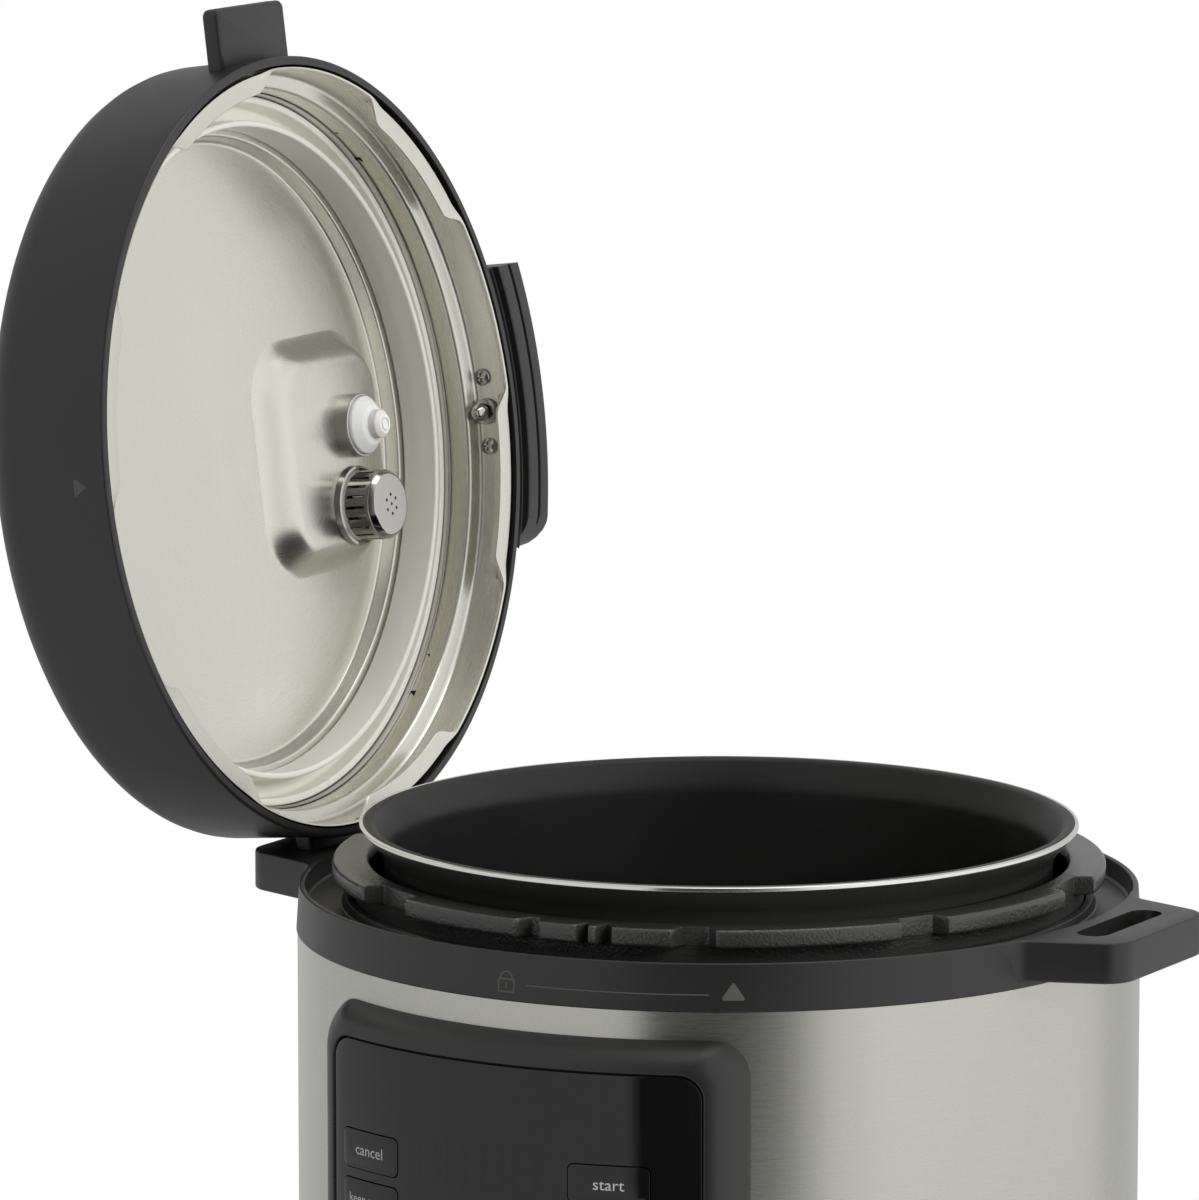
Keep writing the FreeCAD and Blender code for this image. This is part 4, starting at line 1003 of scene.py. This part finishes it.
# %% Locking pin, bush and screws
ball = spun([
    (0, 128.2), (1.8, 128.5, 1.2), (3.3, 131.4, 2.4), (2.9, 134.2, 1.0), (2.9, 148), (0, 148)], steps=48)
piece("lock_pin_ball", on_pin(ball), "lock_pin", "small_steel", ["locking_pin"], place=LID)
bush = spun([(3.5, 135.0), (4.8, 135.0, 0.5), (4.8, 137.0), (3.5, 137.0)], steps=48)
piece("lock_pin_bush", on_pin(bush), "lid", "small_steel", ["pin_bush"], place=LID)
heads = []
for angle in (4.2, -6.8):
    head = moved(turned(screw_head(3.2, 1.6), 90, "X"), 0, 137.3, PIN[1])
    heads.append(turned(head, -angle, "Z"))
piece("wall_screw_heads", joined(*heads), "lid", "small_steel", ["lid_screws"], place=LID)

# %% Steam release knob
knob = spun([
    (5.4, 57.6), (13, 57.6, 0.8), (13.6, 62, 1), (11.4, 70.2, 2.5), (0, 71), (0, 67), (5.4, 67)], steps=72)
lever = moved(plate(oblong(27, 10, 4.5), 60, 68, edge=1.5), -17, 0, 0)
piece("release_knob", moved(carved(knob, lever, operation="UNION"), *EXHAUST, 0), "release", "knob_plastic",
      ["steam_release_knob"], place=LID)

# %% [markdown]
# ## The pieces that stay as they are
# Inside the drum, the frame's own shapes are right already. They only need finishes.

# %% Finishes on the frame's own pieces
KEPT = {
    "small_steel": ["sensor_spring", "pin_spring", "exhaust_nut", "exhaust_stem", "sensor_bracket"],
    "board": ["power_board", "display_board"],
    "housing_metal": ["inner_housing"],
    "plate_metal": ["heating_plate", "temperature_sensor", "thermal_fuse"],
    "element_metal": ["heating_element"],
    "black_plastic": ["pressure_switch"],
}
for look, names in KEPT.items():
    for name in names:
        NODES[name].data.materials.clear()
        NODES[name].data.materials.append(FINISHES[look])
        print(name, "wears", look)

# %% [markdown]
# ## Studio
# The cooker stands on a pale floor that fades into a white background. Polished things show their
# surroundings, so these are set by bearing: bright walls on both sides, and a dark gap between them, behind
# the camera. The gap gives the drum its dark band. It is dimmer overhead, so the pot stays dark inside.

# %% Floor
FLOOR_RADIUS = 0.5
FADE_FROM, FADE_TO = 0.18, 0.45

floor_mesh = bmesh.new()
bmesh.ops.create_circle(floor_mesh, cap_ends=True, segments=96, radius=FLOOR_RADIUS)
floor_data = bpy.data.meshes.new("floor")
floor_mesh.to_mesh(floor_data)
floor_mesh.free()
floor = bpy.data.objects.new("floor", floor_data)
bpy.context.scene.collection.objects.link(floor)
paper = bpy.data.materials.new("paper")
paper.use_nodes = True
tree = paper.node_tree
sheet_shader = tree.nodes["Principled BSDF"]
sheet_shader.inputs["Base Color"].default_value = (0.7, 0.7, 0.7, 1)
sheet_shader.inputs["Roughness"].default_value = 0.8
sheet_shader.inputs["Emission Color"].default_value = (1, 1, 1, 1)
away = tree.nodes.new("ShaderNodeVectorMath")
away.operation = "LENGTH"
wire(tree, tree.nodes.new("ShaderNodeTexCoord").outputs["Object"], away.inputs[0])
fade = ranged(tree, away.outputs["Value"], (FADE_FROM, FADE_TO), (0.3, 1.0))
seen_directly = tree.nodes.new("ShaderNodeLightPath").outputs["Is Camera Ray"]
wire(tree, maths(tree, "MULTIPLY", fade, seen_directly), sheet_shader.inputs["Emission Strength"])
floor_data.materials.append(paper)

# %% Lights
def soft_box(name, location, target, size, power, mirrored):
    """A round area light. One that isn't mirrored lights a surface, but polished steel doesn't show it."""
    data = bpy.data.lights.new(name, "AREA")
    data.shape = "DISK"
    data.size = size
    data.energy = power
    light = bpy.data.objects.new(name, data)
    light.location = location
    light.rotation_euler = (Vector(target) - Vector(location)).to_track_quat("-Z", "Y").to_euler()
    light.visible_glossy = mirrored
    bpy.context.scene.collection.objects.link(light)


soft_box("top_box", (0.2, 0.3, 2.2), (0, 0, 0.2), 1.2, 5, True)
soft_box("fill_box", (1.9, -0.5, 1.3), (-0.1, 0, 0.35), 1.0, 22, False)

# %% Surroundings
# Each pair is a bearing in degrees, where 0 is straight ahead of the panel, and the glow seen there.
GLOW = ((-180, 0.58), (-90, 0.58), (-25, 0.66), (6.5, 0.66), (9.5, 0.05), (36, 0.06), (47, 0.24), (60, 0.82),
        (76, 0.96), (112, 0.92), (148, 0.86), (165, 0.6), (180, 0.58))
world = bpy.data.worlds.new("studio")
bpy.context.scene.world = world
world.use_nodes = True
sky = world.node_tree
heading = sky.nodes.new("ShaderNodeSeparateXYZ")
wire(sky, sky.nodes.new("ShaderNodeTexCoord").outputs["Generated"], heading.inputs[0])
east, north, height = heading.outputs
bearing = maths(sky, "ARCTAN2", east, maths(sky, "MULTIPLY", north, -1))
ramp = sky.nodes.new("ShaderNodeValToRGB")
stops = ramp.color_ramp.elements
for degrees, glow in GLOW[1:-1]:
    stops.new(0.5 + degrees / 360).color = (glow, glow, glow, 1)
for stop, (degrees, glow) in ((stops[0], GLOW[0]), (stops[-1], GLOW[-1])):
    stop.color = (glow, glow, glow, 1)
wire(sky, maths(sky, "ADD", maths(sky, "MULTIPLY", bearing, 1 / math.tau), 0.5), ramp.inputs[0])
mirrored = sky.nodes["Background"]
wire(sky, ramp.outputs[0], mirrored.inputs["Color"])
wire(sky, ranged(sky, height, (0.6, 0.98), (1.0, 0.85)), mirrored.inputs["Strength"])
seen = sky.nodes.new("ShaderNodeBackground")
seen.inputs["Color"].default_value = (1, 1, 1, 1)
either = sky.nodes.new("ShaderNodeMixShader")
wire(sky, sky.nodes.new("ShaderNodeLightPath").outputs["Is Camera Ray"], either.inputs[0])
wire(sky, mirrored.outputs[0], either.inputs[1])
wire(sky, seen.outputs[0], either.inputs[2])
wire(sky, either.outputs[0], sky.nodes["World Output"].inputs[0])
bpy.context.scene.view_settings.view_transform = "Standard"

# %% End
import json
